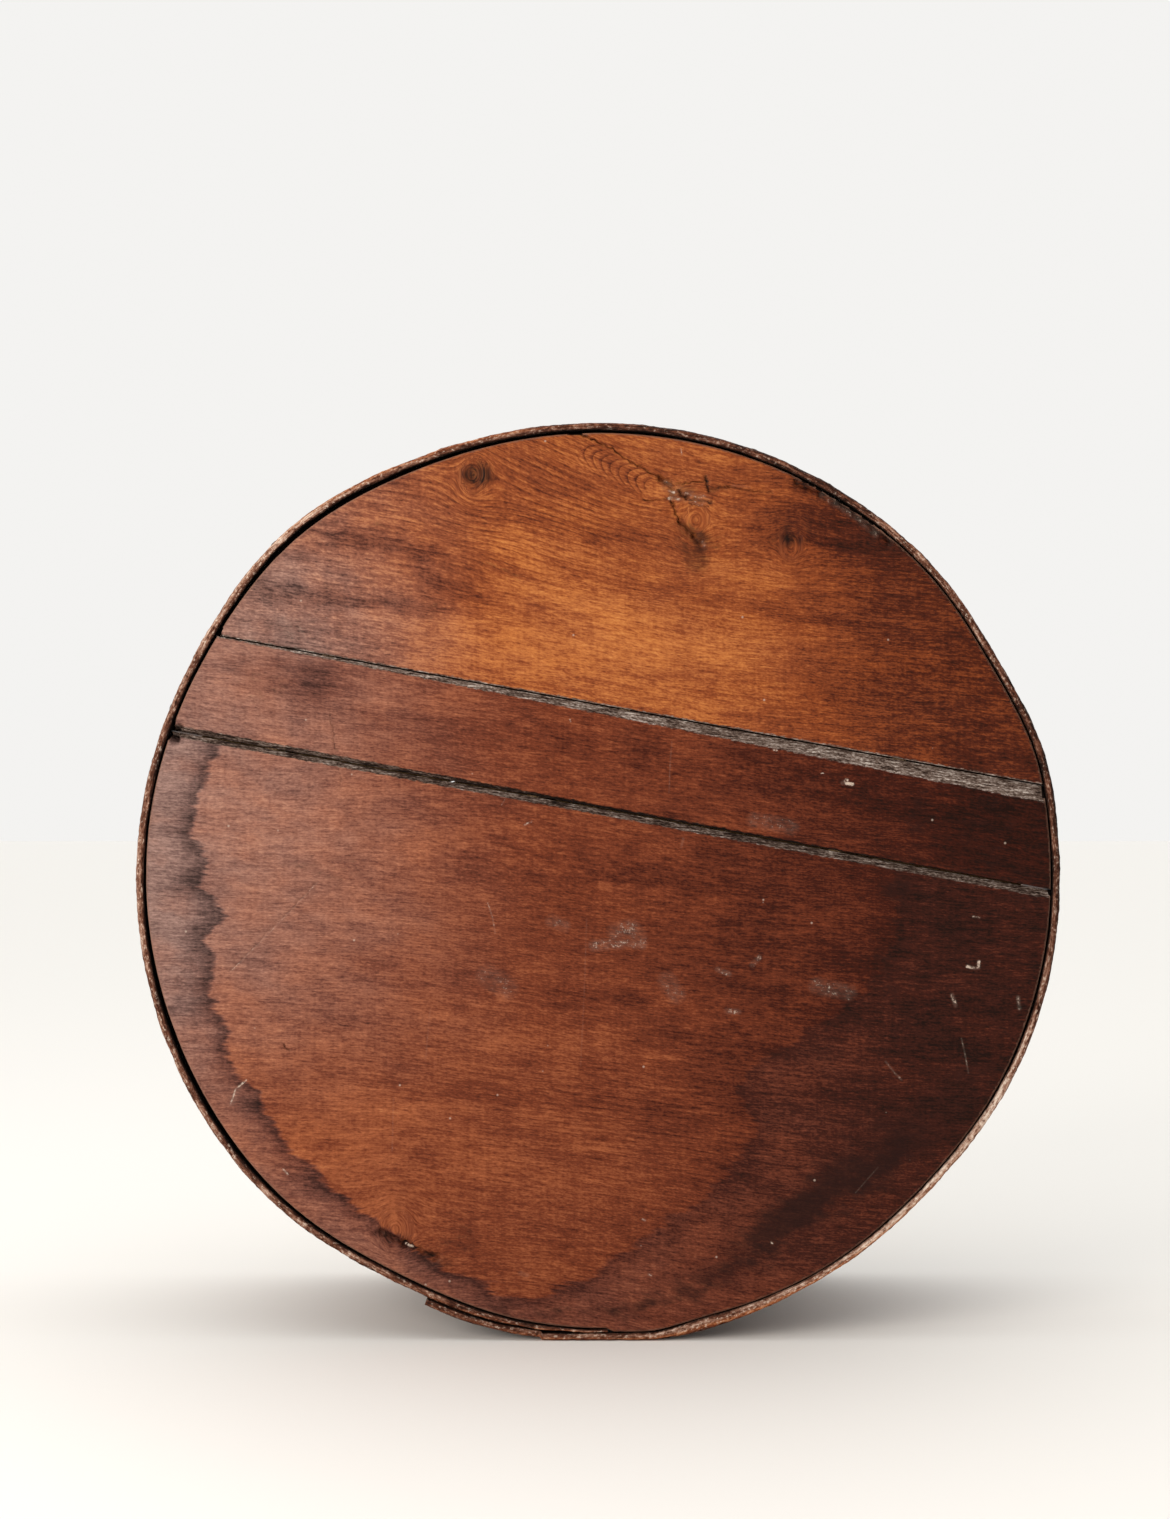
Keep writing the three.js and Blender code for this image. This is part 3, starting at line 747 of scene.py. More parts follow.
# The splits, dents and wear reach this deep.
CARVED = 6


def round_cutter():
    """A disc of the base's own outline. It narrows where it passes the face, so that it leaves a worn
    arris, and below the face it widens nearly to the band, where old dirt has closed the gap."""
    low, high = FACE_Y + SHOULDER_TO * MM, BACK_Y + MM
    disc = cylinder_along_y("round_cutter", 360, 1, low, high, z=AXIS_Z)
    spots = places(disc)
    u, v = spots[:, 0], spots[:, 2] - AXIS_Z
    radius = (inner_radius(bearing(u, v)) - DIRT_GAP) * MM
    spots[:, 0], spots[:, 2] = u * radius, AXIS_Z + v * radius
    set_places(disc, spots)

    mode("EDIT")
    pick(disc, lambda centre, normal: normal.y < -0.9)
    pull(y=(SHOULDER_FROM - SHOULDER_TO) * MM)
    mode("OBJECT")
    spots = places(disc)
    above = spots[:, 1] < low - 0.5 * MM
    u, v = spots[above, 0], spots[above, 2] - AXIS_Z
    share = face_radius(bearing(u, v)) * MM / np.hypot(u, v)
    spots[above, 0], spots[above, 2] = u * share, AXIS_Z + v * share
    set_places(disc, spots)

    mode("EDIT")
    pick(disc, lambda centre, normal: normal.y < -0.9 and centre.y < low - 0.5 * MM)
    pull(y=(RIM_ARRIS - SHOULDER_FROM) * MM)
    pull(y=-2 * RIM_ARRIS * MM)
    narrow = 1 - 2 * RIM_ARRIS / BAND_RADIUS
    bpy.ops.transform.resize(value=(narrow, 1, narrow), center_override=(0, FACE_Y, AXIS_Z))
    turn_faces_out()
    return disc


def refine(piece, paths, reach, cuts):
    """Cuts the faces of the front finer near some paths."""
    only(piece)
    count = len(piece.data.polygons)
    centres, normals = np.zeros(count * 3), np.zeros(count * 3)
    piece.data.polygons.foreach_get("center", centres)
    piece.data.polygons.foreach_get("normal", normals)
    centres, normals = centres.reshape(-1, 3), normals.reshape(-1, 3)
    u, v = centres[:, 0] / MM, (centres[:, 2] - AXIS_Z) / MM
    near = np.zeros(count, bool)
    for path, width in paths:
        near |= distance_to_path(u, v, path) < width + reach
    near &= normals[:, 1] < -0.5
    mode("EDIT")
    bpy.ops.mesh.select_mode(type="FACE")
    bpy.ops.mesh.select_all(action="DESELECT")
    mode("OBJECT")
    piece.data.polygons.foreach_set("select", near)
    mode("EDIT")
    bpy.ops.mesh.subdivide(number_cuts=cuts)
    mode("OBJECT")


def ragged(u, v):
    """Places shifted a little to and fro, so that what is drawn there gets a torn edge."""
    shift_u = 0.45 * waves(u, v, 3.2, 51) + 0.7 * waves(u, v, 9, 52)
    shift_v = 0.40 * waves(u, v, 2.9, 53) + 0.5 * waves(u, v, 8, 54)
    return u + shift_u, v + shift_v


def beyond_arris(name, u, v):
    """How far a point lies past the nearest arris, on the bevel: below 0 on the face."""
    _, low_arris, low_fall, high_arris, _, high_fall = BOARDS[name]
    past = np.full(u.shape, -99.0)
    if low_fall:
        past = np.maximum(past, line_at(low_arris, u) - v)
    if high_fall:
        past = np.maximum(past, v - line_at(high_arris, u))
    return past


def carve(piece, name):
    """Presses the splits, the dents and the wear of many years into a board's face."""
    spots = places(piece)
    u, v, depth = on_face(piece)
    surface = depth < CARVED
    sink = 0.12 * (1 + waves(u * 0.5, v, 60, 11)) + 0.05 * (1 + waves(u, v, 9, 12))
    torn_u, torn_v = ragged(u, v)
    for path, width, deep, _ in SPLITS[name]:
        wide = width * (1 + 0.4 * waves(u, v, 5, 13))
        sink = sink + deep * bell(distance_to_path(torn_u, torn_v, path) / wide)
    for path, width, pale in SCUFFS[name]:
        sink = sink + 0.2 * pale * bell(distance_to_path(u, v, path) / width)
    past = beyond_arris(name, u, v)
    chips = np.clip(waves(u, v, 4.5, 14) + 0.35 * waves(u, v, 17, 15) - 0.25, 0, 1)
    sink = sink + 0.8 * chips * bell(past / 0.9)
    sink = sink + 0.25 * (past > 0) * (1 + waves(u, v * 3, 6, 16))
    fade = np.clip(1 - depth / CARVED, 0, 1)
    spots[surface, 1] += (sink * fade)[surface] * MM
    set_places(piece, spots)


def painted_bevel_light_of(name, u, v):
    """How brightly a bevel's bare grey wood is painted: fully where the bevel faces up, and darker, as
    painted shade, under the arris of the middle board, where it faces down.
    """
    if name == "lower":
        return np.full(u.shape, 0.82)
    if name == "upper":
        return np.ones(u.shape)
    return np.where(v > line_at(MIDDLE_TOP_BEVEL, u) - 3, 1.0, 0.75 - 0.7 * smoothstep(u, -110, 0))


def paint(piece, name):
    """Stores what the old pine material reads: the grain, and where the wood is stained, split, pale or
    bare."""
    u, v, depth = on_face(piece)
    along = u + 0.12 * v
    store(piece, "grain", "FLOAT_VECTOR", np.stack([along, GRAIN[name](u, v), depth], 1))
    dry, soak = np.full(u.shape, 99.0), np.zeros(u.shape)
    if name == "lower":
        edge = distance_to_path(u, v, DRY_EDGE + DRY_EDGE[:1])
        dry = np.where(inside_outline(u, v, DRY_EDGE), edge, -edge)
        soak = 1 - 0.7 * smoothstep(u, -90, 60)
    dark, pale = np.zeros(u.shape), np.zeros(u.shape)
    torn_u, torn_v = ragged(u, v)
    faded = 0.85 + 0.35 * waves(u, v, 7, 17)
    for path, width, _, strength in SPLITS[name]:
        far = distance_to_path(torn_u, torn_v, path) / (1.15 * width)
        dark = np.maximum(dark, strength * faded * bell(far))
    for knot_u, knot_v, length, wide, strength in KNOTS[name]:
        far = np.hypot((torn_u - knot_u) / length, (torn_v - knot_v) / wide)
        dark = np.maximum(dark, strength * (1 - smoothstep(far, 0.4, 1.3)))
    for path, width, strength in SCUFFS[name]:
        pale = np.maximum(pale, strength * np.exp(-((distance_to_path(u, v, path) / width) ** 4)))
    rim = face_radius(bearing(u, v)) - np.hypot(u, v)
    # Faces in the joints and in the gap by the band, which the material paints with near-black shade.
    behind = (depth > JOINT_DEEP) | ((rim < BY_THE_BAND) & (depth > 1.5))
    shown, along_split = scales_of(name, u, v)
    marks = {
        # Tone, darkened to the right partly by painted shade away from the window.
        "tone": tone_and_painted_shade_of(name, u, v),
        "rings": rings_of(name, u, v),
        # A painted sheen, standing for the window's reflection, greys the wood towards the left.
        "painted_sheen": painted_sheen_of(name, u, v),
        "soot": sum_of(CLOUDS[name], u, v),
        **{"dry": dry, "soak": soak, "dark": dark, "pale": pale},
        "bare": beyond_arris(name, u, v),
        "painted_bevel_light": painted_bevel_light_of(name, u, v),
        "rim": rim,
        "back": behind.astype(float),
        "scales": shown,
        "along": along_split,
    }
    for key, values in marks.items():
        store(piece, key, "FLOAT", values)


def make_board(name, material):
    board = board_blank(name)
    cut(board, round_cutter(), "INTERSECT")
    wide = [(path, width) for path, width, *_ in SPLITS[name] + SCUFFS[name]]
    refine(board, wide, 1.2, 1)
    refine(board, wide, 0.3, 1)
    carve(board, name)
    paint(board, name)
    smooth(board, 40)
    hand_over(board, material, "mold", "base_boards", f"base_{name}_board")


# ---- materials ---------------------------------------------------------------


MARKS = (
    "tone", "rings", "scales", "along", "painted_sheen", "soot", "dry", "soak", "dark", "pale", "bare", "painted_bevel_light",
    "rim", "back",
)  # fmt: skip

# Patches of noise in the pine: length, width and depth in millimetres, detail and roughness.
PINE_NOISE = {
    "broad": ((70, 13, 13), 3.0, 0.55),
    "blotch": ((32, 20, 20), 4.0, 0.6),
    "fibre": ((9, 0.8, 0.8), 4.0, 0.65),
    "streak": ((20, 4.2, 4.2), 3.0, 0.6),
    "speckle": ((3.6, 1.7, 1.7), 3.0, 0.6),
    "fine": ((1.5, 0.6, 0.6), 3.0, 0.6),
    "pores": ((3.2, 0.55, 0.55), 2.0, 0.6),
    "drift": ((90, 9, 9), 2.0, 0.5),
    "long finger": ((50, 7, 7), 3.0, 0.6),
    "short finger": ((12, 1.8, 1.8), 3.0, 0.6),
    "mottle": ((12, 6, 6), 5.0, 0.7),
    "torn": ((2.8, 1.1, 1.1), 4.0, 0.65),
    "patchy": ((3.4, 3.0, 3.0), 2.0, 0.5),
}


# Old wax shines a little warmer than the light that falls on it.
WAX_TINT = srgb("#f0dccf")


def old_pine(name, palette, ring_gap):
    """Old pine, planed by hand, waxed, and soaked at its edges by brine. Wax over stained wood gives it
    a soft sheen; the rings show as thin dark lines, the brine as a dark line with greyer wood outside
    it, and the bevels along the seams, which were never waxed, are grey and rough."""
    material, shader, add = start_material(name)
    spot = add("TexCoord", out="Object")
    grain = add("Attribute", attribute_name="grain", out="Vector")
    across = add("SeparateXYZ", {0: grain}, out="Y")
    depth = across.node.outputs["Z"]
    mark = {key: add("Attribute", attribute_name=key, out="Fac") for key in MARKS}
    noise = {}
    for key, (lengths, detail, rough) in PINE_NOISE.items():
        sizes = [1 / mm for mm in lengths]
        scaled = add("VectorMath", {0: grain, 1: sizes}, operation="MULTIPLY")
        settings = {"Vector": scaled, "Scale": 1.0, "Detail": detail, "Roughness": rough}
        noise[key] = add("TexNoise", settings)
    brushed = add("VectorMath", {0: spot, 1: (900, 20, 38)}, operation="MULTIPLY")
    brushed = add("TexNoise", {"Vector": brushed, "Scale": 1.0, "Detail": 2.0, "Roughness": 0.5})
    pore = add("MapRange", {0: noise["pores"], 1: 0.57, 2: 0.72})

    # Growth rings: a slow darkening and then a sharp edge. Beside the split they are set on edge, like
    # scales.
    profile = [(0.0, 0.0), (0.45, 0.05), (0.76, 0.7), (0.88, 1.0), (0.97, 0.0)]
    patchy_ring = add("MapRange", {0: noise["blotch"], 1: 0.3, 2: 0.6, 3: 0.45, 4: 1.0})
    ring = {}
    for key, run, gap, drift in (("rings", across, ring_gap, 1.8), ("scales", mark["along"], SCALE_GAP, 0.5)):
        phase = add("Math", {0: run, 1: 1 / gap}, operation="MULTIPLY")
        phase = add("Math", {0: noise["drift"], 1: drift, 2: phase}, operation="MULTIPLY_ADD")
        phase = add("Math", {0: phase}, operation="FRACT")
        shade = add("ValToRGB", {0: phase}, stops=profile)
        shade = add("Math", {0: shade, 1: patchy_ring}, operation="MULTIPLY")
        ring[key] = add("Math", {0: shade, 1: mark[key]}, operation="MULTIPLY")

    # The brine's edge runs out in fingers along the grain.
    dry = add("Math", {0: noise["long finger"], 1: 15.0, 2: mark["dry"]}, operation="MULTIPLY_ADD")
    dry = add("Math", {0: noise["short finger"], 1: 7.0, 2: dry}, operation="MULTIPLY_ADD")
    wet = add("MapRange", {0: dry, 1: 12.2, 2: 9.8})
    wet = add("Math", {0: wet, 1: mark["soak"]}, operation="MULTIPLY")
    tide = add("MapRange", {0: dry, 1: -4.0, 2: 10.4})
    tide = add("Math", {0: tide, 1: 2.0}, operation="POWER")
    tide = add("Math", {0: tide, 1: wet}, operation="MULTIPLY")

    # All of these move one tone, and the tone picks the colour. Noise is 0.5 on the whole, which is
    # taken off again.
    parts = [(noise["broad"], 0.24), (noise["blotch"], 0.30), (noise["fibre"], 0.52), (noise["fine"], 0.50)]
    parts += [(noise["streak"], 0.30), (noise["speckle"], 0.28), (brushed, 0.10)]
    usual = sum(share for _, share in parts) / 2
    parts += [(ring["rings"], -0.28), (ring["scales"], -0.26), (pore, -0.10), (tide, -0.30), (wet, -0.03)]
    tone = add("Math", {0: mark["tone"], 1: usual}, operation="SUBTRACT")
    for part, share in parts:
        tone = add("Math", {0: part, 1: share, 2: tone}, operation="MULTIPLY_ADD")
    colour = add("ValToRGB", {0: tone}, stops=palette)

    # Brine takes the red out of the wood, and a painted sheen, standing for the window's reflection, greys it
    # towards the left.
    greyed = add("HueSaturation", {"Saturation": 0.55, "Value": 1.0, "Color": colour})
    brine_grey_and_painted_sheen = add("Math", {0: wet, 1: 0.35, 2: mark["painted_sheen"]}, operation="MULTIPLY_ADD")
    uneven = add("MapRange", {0: noise["blotch"], 1: 0.35, 2: 0.65, 3: 1.15, 4: 0.75})
    brine_grey_and_painted_sheen = add("Math", {0: brine_grey_and_painted_sheen, 1: uneven}, operation="MULTIPLY", use_clamp=True)
    colour = add("Mix", {0: brine_grey_and_painted_sheen, 6: colour, 7: greyed}, out=2, data_type="RGBA")

    # Soot lies in a mottled film; splits and knots are nearly black.
    soot = add("Math", {0: mark["soot"], 1: 1.5}, operation="MULTIPLY")
    for part, share in ((noise["mottle"], 4.0), (noise["speckle"], 2.0), (noise["fibre"], 2.0)):
        soot = add("Math", {0: part, 1: share, 2: soot}, operation="MULTIPLY_ADD")
    soot = add("MapRange", {0: soot, 1: 4.6, 2: 5.9, 3: 0.0, 4: 0.85})
    # Where there is none laid, the noise alone makes none.
    laid = add("MapRange", {0: mark["soot"], 1: 0.02, 2: 0.2})
    soot = add("Math", {0: soot, 1: laid}, operation="MULTIPLY")
    dark = add("MapRange", {0: noise["speckle"], 1: 0.35, 2: 0.62, 3: 1.2, 4: 0.6})
    dark = add("Math", {0: dark, 1: mark["dark"]}, operation="MULTIPLY", use_clamp=True)

    # Never waxed: the bevels, and what has chipped off their arris and off the edge by the band.
    bare = add("Math", {0: noise["torn"], 1: 2.6, 2: mark["bare"]}, operation="MULTIPLY_ADD")
    bare = add("MapRange", {0: bare, 1: 1.1, 2: 1.6})
    # The bevels' bare grey wood, darkened with painted shade where the middle board's lower bevel faces down.
    bare_grey_with_painted_shade = add("Math", {0: mark["painted_bevel_light"], 1: 0.42, 2: -1.07}, operation="MULTIPLY_ADD")
    for part, share in ((noise["fibre"], 1.1), (noise["fine"], 0.9), (noise["mottle"], 0.5)):
        bare_grey_with_painted_shade = add("Math", {0: part, 1: share, 2: bare_grey_with_painted_shade}, operation="MULTIPLY_ADD")
    greys = [(0.28, "#0f0907"), (0.46, "#382a24"), (0.60, "#65554c"), (0.74, "#8b7d75"), (0.92, "#cbc0b6")]
    bare_grey_with_painted_shade = add("ValToRGB", {0: bare_grey_with_painted_shade}, stops=greys)
    # The pale edge by the band is worn wood, and also a painted highlight along the arris.
    chipped = add("Math", {0: noise["torn"], 1: -1.7, 2: mark["rim"]}, operation="MULTIPLY_ADD")
    chipped = add("MapRange", {0: chipped, 1: 0.0, 2: -0.5, 3: 0.0, 4: 0.5})

    # Chalk and lost finish, in the marks and as fine specks about 0.5 mm across.
    crumb = add("TexNoise", {"Vector": spot, "Scale": 900.0, "Detail": 3.0, "Roughness": 0.75})
    broken = add("MapRange", {0: noise["patchy"], 1: 0.4, 2: 0.6, 3: 0.9, 4: 1.8})
    pale = add("Math", {0: mark["pale"], 1: broken}, operation="MULTIPLY")
    marked = add("Math", {0: crumb, 1: 3.2, 2: pale}, operation="MULTIPLY_ADD")
    marked = add("MapRange", {0: marked, 1: 2.35, 2: 3.25})
    marked = add("Math", {0: pale, 1: 0.09, 2: marked}, operation="MULTIPLY_ADD")
    shown = add("Math", {0: mark["pale"], 1: 0.04}, operation="GREATER_THAN")
    marked = add("Math", {0: marked, 1: shown}, operation="MULTIPLY")
    cell = add("TexVoronoi", {"Vector": spot, "Scale": 95.0, "Randomness": 1.0})
    speck = add("MapRange", {0: cell, 1: 0.06, 2: 0.03, 3: 0.0, 4: 0.5})
    chance = add("SeparateColor", {0: cell.node.outputs["Color"]})
    chance = add("Math", {0: chance, 1: 0.70}, operation="GREATER_THAN")
    speck = add("Math", {0: speck, 1: chance}, operation="MULTIPLY")
    marked = add("Math", {0: marked, 1: speck}, operation="MAXIMUM")
    marked = add("Math", {0: marked, 1: 0.95}, operation="MINIMUM")

    # Painted shade darkens the joints and the gap round the base nearly to black, down to the back, which is
    # raw and scrubbed.
    painted_joint_shade = add("Math", {0: mark["back"], 1: 9.0}, operation="MULTIPLY", use_clamp=True)
    behind = add("Math", {0: depth, 1: BACK_DEEP}, operation="GREATER_THAN")
    scrubbed = add("Math", {0: noise["fibre"], 1: 0.6}, operation="MULTIPLY")
    scrubbed = add("Math", {0: noise["blotch"], 1: 0.6, 2: scrubbed}, operation="MULTIPLY_ADD")
    raw_wood = [(0.4, "#c8a87c"), (0.6, "#a67f52"), (0.78, "#6f4c2c")]
    scrubbed = add("ValToRGB", {0: scrubbed}, stops=raw_wood)

    layers = [(soot, srgb("#1f0c0a")), (dark, srgb("#140906")), (bare, bare_grey_with_painted_shade), (chipped, srgb("#94705e"))]
    # Near black in the joints and the gap round the base: painted shade.
    layers += [(marked, srgb("#c4b0a0")), (painted_joint_shade, srgb("#0b0504")), (behind, scrubbed)]
    for share, over in layers:
        colour = add("Mix", {0: share, 6: colour, 7: over}, out=2, data_type="RGBA")

    rough = add("Math", {0: noise["fibre"], 1: 0.25, 2: 0.24}, operation="MULTIPLY_ADD")
    for part, share in ((brushed, 0.15), (soot, 0.1), (bare, 0.4), (marked, 0.3), (painted_joint_shade, 0.5)):
        rough = add("Math", {0: part, 1: share, 2: rough}, operation="MULTIPLY_ADD", use_clamp=True)

    height = add("Math", {0: noise["fibre"], 1: 1.1}, operation="MULTIPLY")
    for part, share in ((ring["rings"], 1.6), (ring["scales"], 1.2), (noise["fine"], 0.7), (pore, -0.5)):
        height = add("Math", {0: part, 1: share, 2: height}, operation="MULTIPLY_ADD")
    bump = add("Bump", {"Strength": 0.5, "Distance": 0.0003, "Height": height})
    fill(shader, {"Base Color": colour, "Roughness": rough, "Normal": bump})
    fill(shader, {"Specular IOR Level": 0.15, "Specular Tint": WAX_TINT})
    return material


AMBER_PINE = [(0.0, "#1c0803"), (0.22, "#491907"), (0.45, "#843d14"), (0.66, "#b3672c"), (1.0, "#d9954c")]
RED_PINE = [(0.0, "#170502"), (0.22, "#3c1206"), (0.45, "#6c3018"), (0.68, "#98532f"), (1.0, "#c48252")]


# Patches of noise in the band, along the strip, across it and through its thickness.
BAND_NOISE = {
    "broad": ((160, 30, 5), 4.0, 0.6),
    "streak": ((70, 3.2, 3.0), 3.0, 0.6),
    "fibre": ((30, 0.7, 0.6), 4.0, 0.7),
    "pores": ((7, 0.45, 0.5), 2.0, 0.5),
    "layer": ((26, 0.9, 0.7), 3.0, 0.6),
    "mottle": ((9, 3.0, 2.2), 4.0, 0.65),
    "chip": ((1.7, 1.2, 1.0), 4.0, 0.7),
}


def bent_wood(name):
    """A strip of wood split along the grain, shaved and bent with steam. Its grain runs round the drum;
    handling has darkened and polished the outside, and the thin rim is knocked and worn down to pale wood in
    places. The rim's paleness also carries painted light, palest on the part that faces the window, and the
    inside by the base is darkened with painted shade."""
    material, shader, add = start_material(name)
    grain = add("Attribute", attribute_name="grain", out="Vector")
    mark = {}
    for key in ("worn", "rim", "warm", "painted_gap_shade"):
        mark[key] = add("Attribute", attribute_name=key, out="Fac")
    noise = {}
    for key, (lengths, detail, rough) in BAND_NOISE.items():
        sizes = [1 / mm for mm in lengths]
        scaled = add("VectorMath", {0: grain, 1: sizes}, operation="MULTIPLY")
        settings = {"Vector": scaled, "Scale": 1.0, "Detail": detail, "Roughness": rough}
        noise[key] = add("TexNoise", settings)

    pore = add("MapRange", {0: noise["pores"], 1: 0.57, 2: 0.70})
    tone = add("Math", {0: noise["broad"], 1: 0.6, 2: -0.56}, operation="MULTIPLY_ADD")
    for part, share in ((noise["streak"], 0.7), (noise["fibre"], 0.75), (pore, -0.16)):
        tone = add("Math", {0: part, 1: share, 2: tone}, operation="MULTIPLY_ADD")
    browns = [(0.1, "#1d0e08"), (0.35, "#45261a"), (0.6, "#74492f"), (0.9, "#a37753")]
    colour = add("ValToRGB", {0: tone}, stops=browns)

    parts = [(noise["chip"], 0.8), (noise["layer"], 0.8), (noise["mottle"], 1.3), (noise["fibre"], 0.4)]
    usual = sum(share for _, share in parts) / 2
    tone = add("Math", {0: mark["worn"], 1: usual}, operation="SUBTRACT")
    for part, share in parts:
        tone = add("Math", {0: part, 1: share, 2: tone}, operation="MULTIPLY_ADD")
    worn_wood = [(0.0, "#120604"), (0.2, "#34180e"), (0.4, "#5a3425"), (0.6, "#865f4d")]
    worn_wood += [(0.8, "#b2917f"), (1.0, "#dcc8b8")]
    pale = add("ValToRGB", {0: tone}, stops=worn_wood)
    fresh_wood = [(0.1, "#381507"), (0.4, "#8c4520"), (0.65, "#bb733f"), (0.95, "#ddb28c")]
    fresh = add("ValToRGB", {0: tone}, stops=fresh_wood)
    pale = add("Mix", {0: mark["warm"], 6: pale, 7: fresh}, out=2, data_type="RGBA")
    crumb = add("MapRange", {0: noise["chip"], 1: 0.56, 2: 0.66, 3: 0.0, 4: 1.2})
    crumb = add("Math", {0: crumb, 1: mark["worn"]}, operation="MULTIPLY", use_clamp=True)
    nick = add("MapRange", {0: noise["chip"], 1: 0.43, 2: 0.33, 3: 0.0, 4: 0.75})
    for share, over in ((crumb, "#dccab8"), (nick, "#140805")):
        pale = add("Mix", {0: share, 6: pale, 7: srgb(over)}, out=2, data_type="RGBA")

    # Near black on the band's inside by the base: painted shade in the gap.
    for share, over in ((mark["rim"], pale), (mark["painted_gap_shade"], srgb("#0b0504"))):
        colour = add("Mix", {0: share, 6: colour, 7: over}, out=2, data_type="RGBA")

    rough = add("Math", {0: noise["fibre"], 1: 0.3, 2: 0.35}, operation="MULTIPLY_ADD")
    rough = add("Math", {0: mark["rim"], 1: 0.25, 2: rough}, operation="MULTIPLY_ADD", use_clamp=True)
    height = add("Math", {0: noise["chip"], 1: mark["rim"]}, operation="MULTIPLY")
    for part, share in ((noise["fibre"], 1.0), (noise["streak"], 0.8), (pore, -0.5)):
        height = add("Math", {0: part, 1: share, 2: height}, operation="MULTIPLY_ADD")
    bump = add("Bump", {"Strength": 0.6, "Distance": 0.0005, "Height": height})
    fill(shader, {"Base Color": colour, "Roughness": rough, "Normal": bump})
    fill(shader, {"Specular IOR Level": 0.2, "Specular Tint": WAX_TINT})
    return material


# Patches of noise in the follower's wood: length, depth and width in millimetres, detail and roughness.
SCRUBBED_NOISE = {
    "broad": ((170, 30, 26), 3.0, 0.5),
    "drift": ((240, 60, 60), 2.0, 0.5),
    "streak": ((50, 4, 3.4), 3.0, 0.6),
    "fibre": ((14, 0.8, 0.8), 4.0, 0.7),
    "pores": ((6, 0.7, 0.7), 2.0, 0.5),
    "cloud": ((80, 60, 60), 5.0, 0.65),
}


def scrubbed_pine(name, turn):
    """Raw pine, scrubbed after every cheese. Scrubbing leaves it pale, dry and furry, with the harder
    rings standing a little proud and darker, and whey has left faint brown clouds. Its grain is turned
    by some degrees."""
    material, shader, add = start_material(name)
    spot = add("TexCoord", out="Object")
    turned = add("Mapping", {"Vector": spot, "Rotation": (0, math.radians(turn), 0)})
    noise = {}
    for key, (lengths, detail, rough) in SCRUBBED_NOISE.items():
        sizes = [1 / (mm * MM) for mm in lengths]
        scaled = add("VectorMath", {0: turned, 1: sizes}, operation="MULTIPLY")
        settings = {"Vector": scaled, "Scale": 1.0, "Detail": detail, "Roughness": rough}
        noise[key] = add("TexNoise", settings)

    # Growth rings about 5 mm apart where the board was sawn, drifting along its length.
    run = add("SeparateXYZ", {0: turned}, out="Z")
    depth = add("Math", {0: run.node.outputs["Y"], 1: 70.0}, operation="MULTIPLY")
    phase = add("Math", {0: run, 1: 200.0, 2: depth}, operation="MULTIPLY_ADD")
    phase = add("Math", {0: noise["drift"], 1: 9.0, 2: phase}, operation="MULTIPLY_ADD")
    ring = add("Math", {0: phase}, operation="FRACT")
    profile = [(0.0, 0.0), (0.4, 0.1), (0.8, 0.9), (0.88, 1.0), (0.98, 0.0)]
    ring = add("ValToRGB", {0: ring}, stops=profile)
    pore = add("MapRange", {0: noise["pores"], 1: 0.58, 2: 0.70})

    tone = add("Math", {0: noise["broad"], 1: 0.5, 2: -0.30}, operation="MULTIPLY_ADD")
    for part, share in ((ring, 0.22), (noise["streak"], 0.5), (noise["fibre"], 0.5), (pore, 0.16)):
        tone = add("Math", {0: part, 1: share, 2: tone}, operation="MULTIPLY_ADD")
    browns = [(0.15, "#d3b68c"), (0.45, "#b8925f"), (0.7, "#94693c"), (0.95, "#63401f")]
    colour = add("ValToRGB", {0: tone}, stops=browns)
    cloud = add("MapRange", {0: noise["cloud"], 1: 0.5, 2: 0.72, 3: 0.0, 4: 0.6})
    colour = add("Mix", {0: cloud, 6: colour, 7: srgb("#6b4829")}, out=2, data_type="RGBA")
    rough = add("Math", {0: noise["fibre"], 1: 0.25, 2: 0.6}, operation="MULTIPLY_ADD")
    height = add("Math", {0: ring, 1: 0.7, 2: noise["fibre"]}, operation="MULTIPLY_ADD")
    height = add("Math", {0: pore, 1: -0.5, 2: height}, operation="MULTIPLY_ADD")
    bump = add("Bump", {"Strength": 0.5, "Distance": 0.0004, "Height": height})
    fill(shader, {"Base Color": colour, "Roughness": rough, "Normal": bump, "IOR": 1.5})
    return material


def forged_iron(name):
    """Iron nails forged by hand. They are nearly black, with hammer scale that has rusted brown in its
    hollows."""
    material, shader, add = start_material(name)
    spot = add("TexCoord", out="Object")
    rust = add("TexNoise", {"Vector": spot, "Scale": 700.0, "Detail": 5.0, "Roughness": 0.65})
    rusts = [(0.35, "#1b1614"), (0.5, "#2e231e"), (0.62, "#4d2c1c"), (0.75, "#6d3d22")]
    colour = add("ValToRGB", {0: rust}, stops=rusts)
    metal = add("MapRange", {0: rust, 1: 0.45, 2: 0.6, 3: 0.85, 4: 0.1})
    rough = add("MapRange", {0: rust, 1: 0.4, 2: 0.65, 3: 0.45, 4: 0.85})
    bump = add("Bump", {"Strength": 0.5, "Distance": 0.0003, "Height": rust})
    fill(shader, {"Base Color": colour, "Metallic": metal, "Roughness": rough, "Normal": bump})
    return material


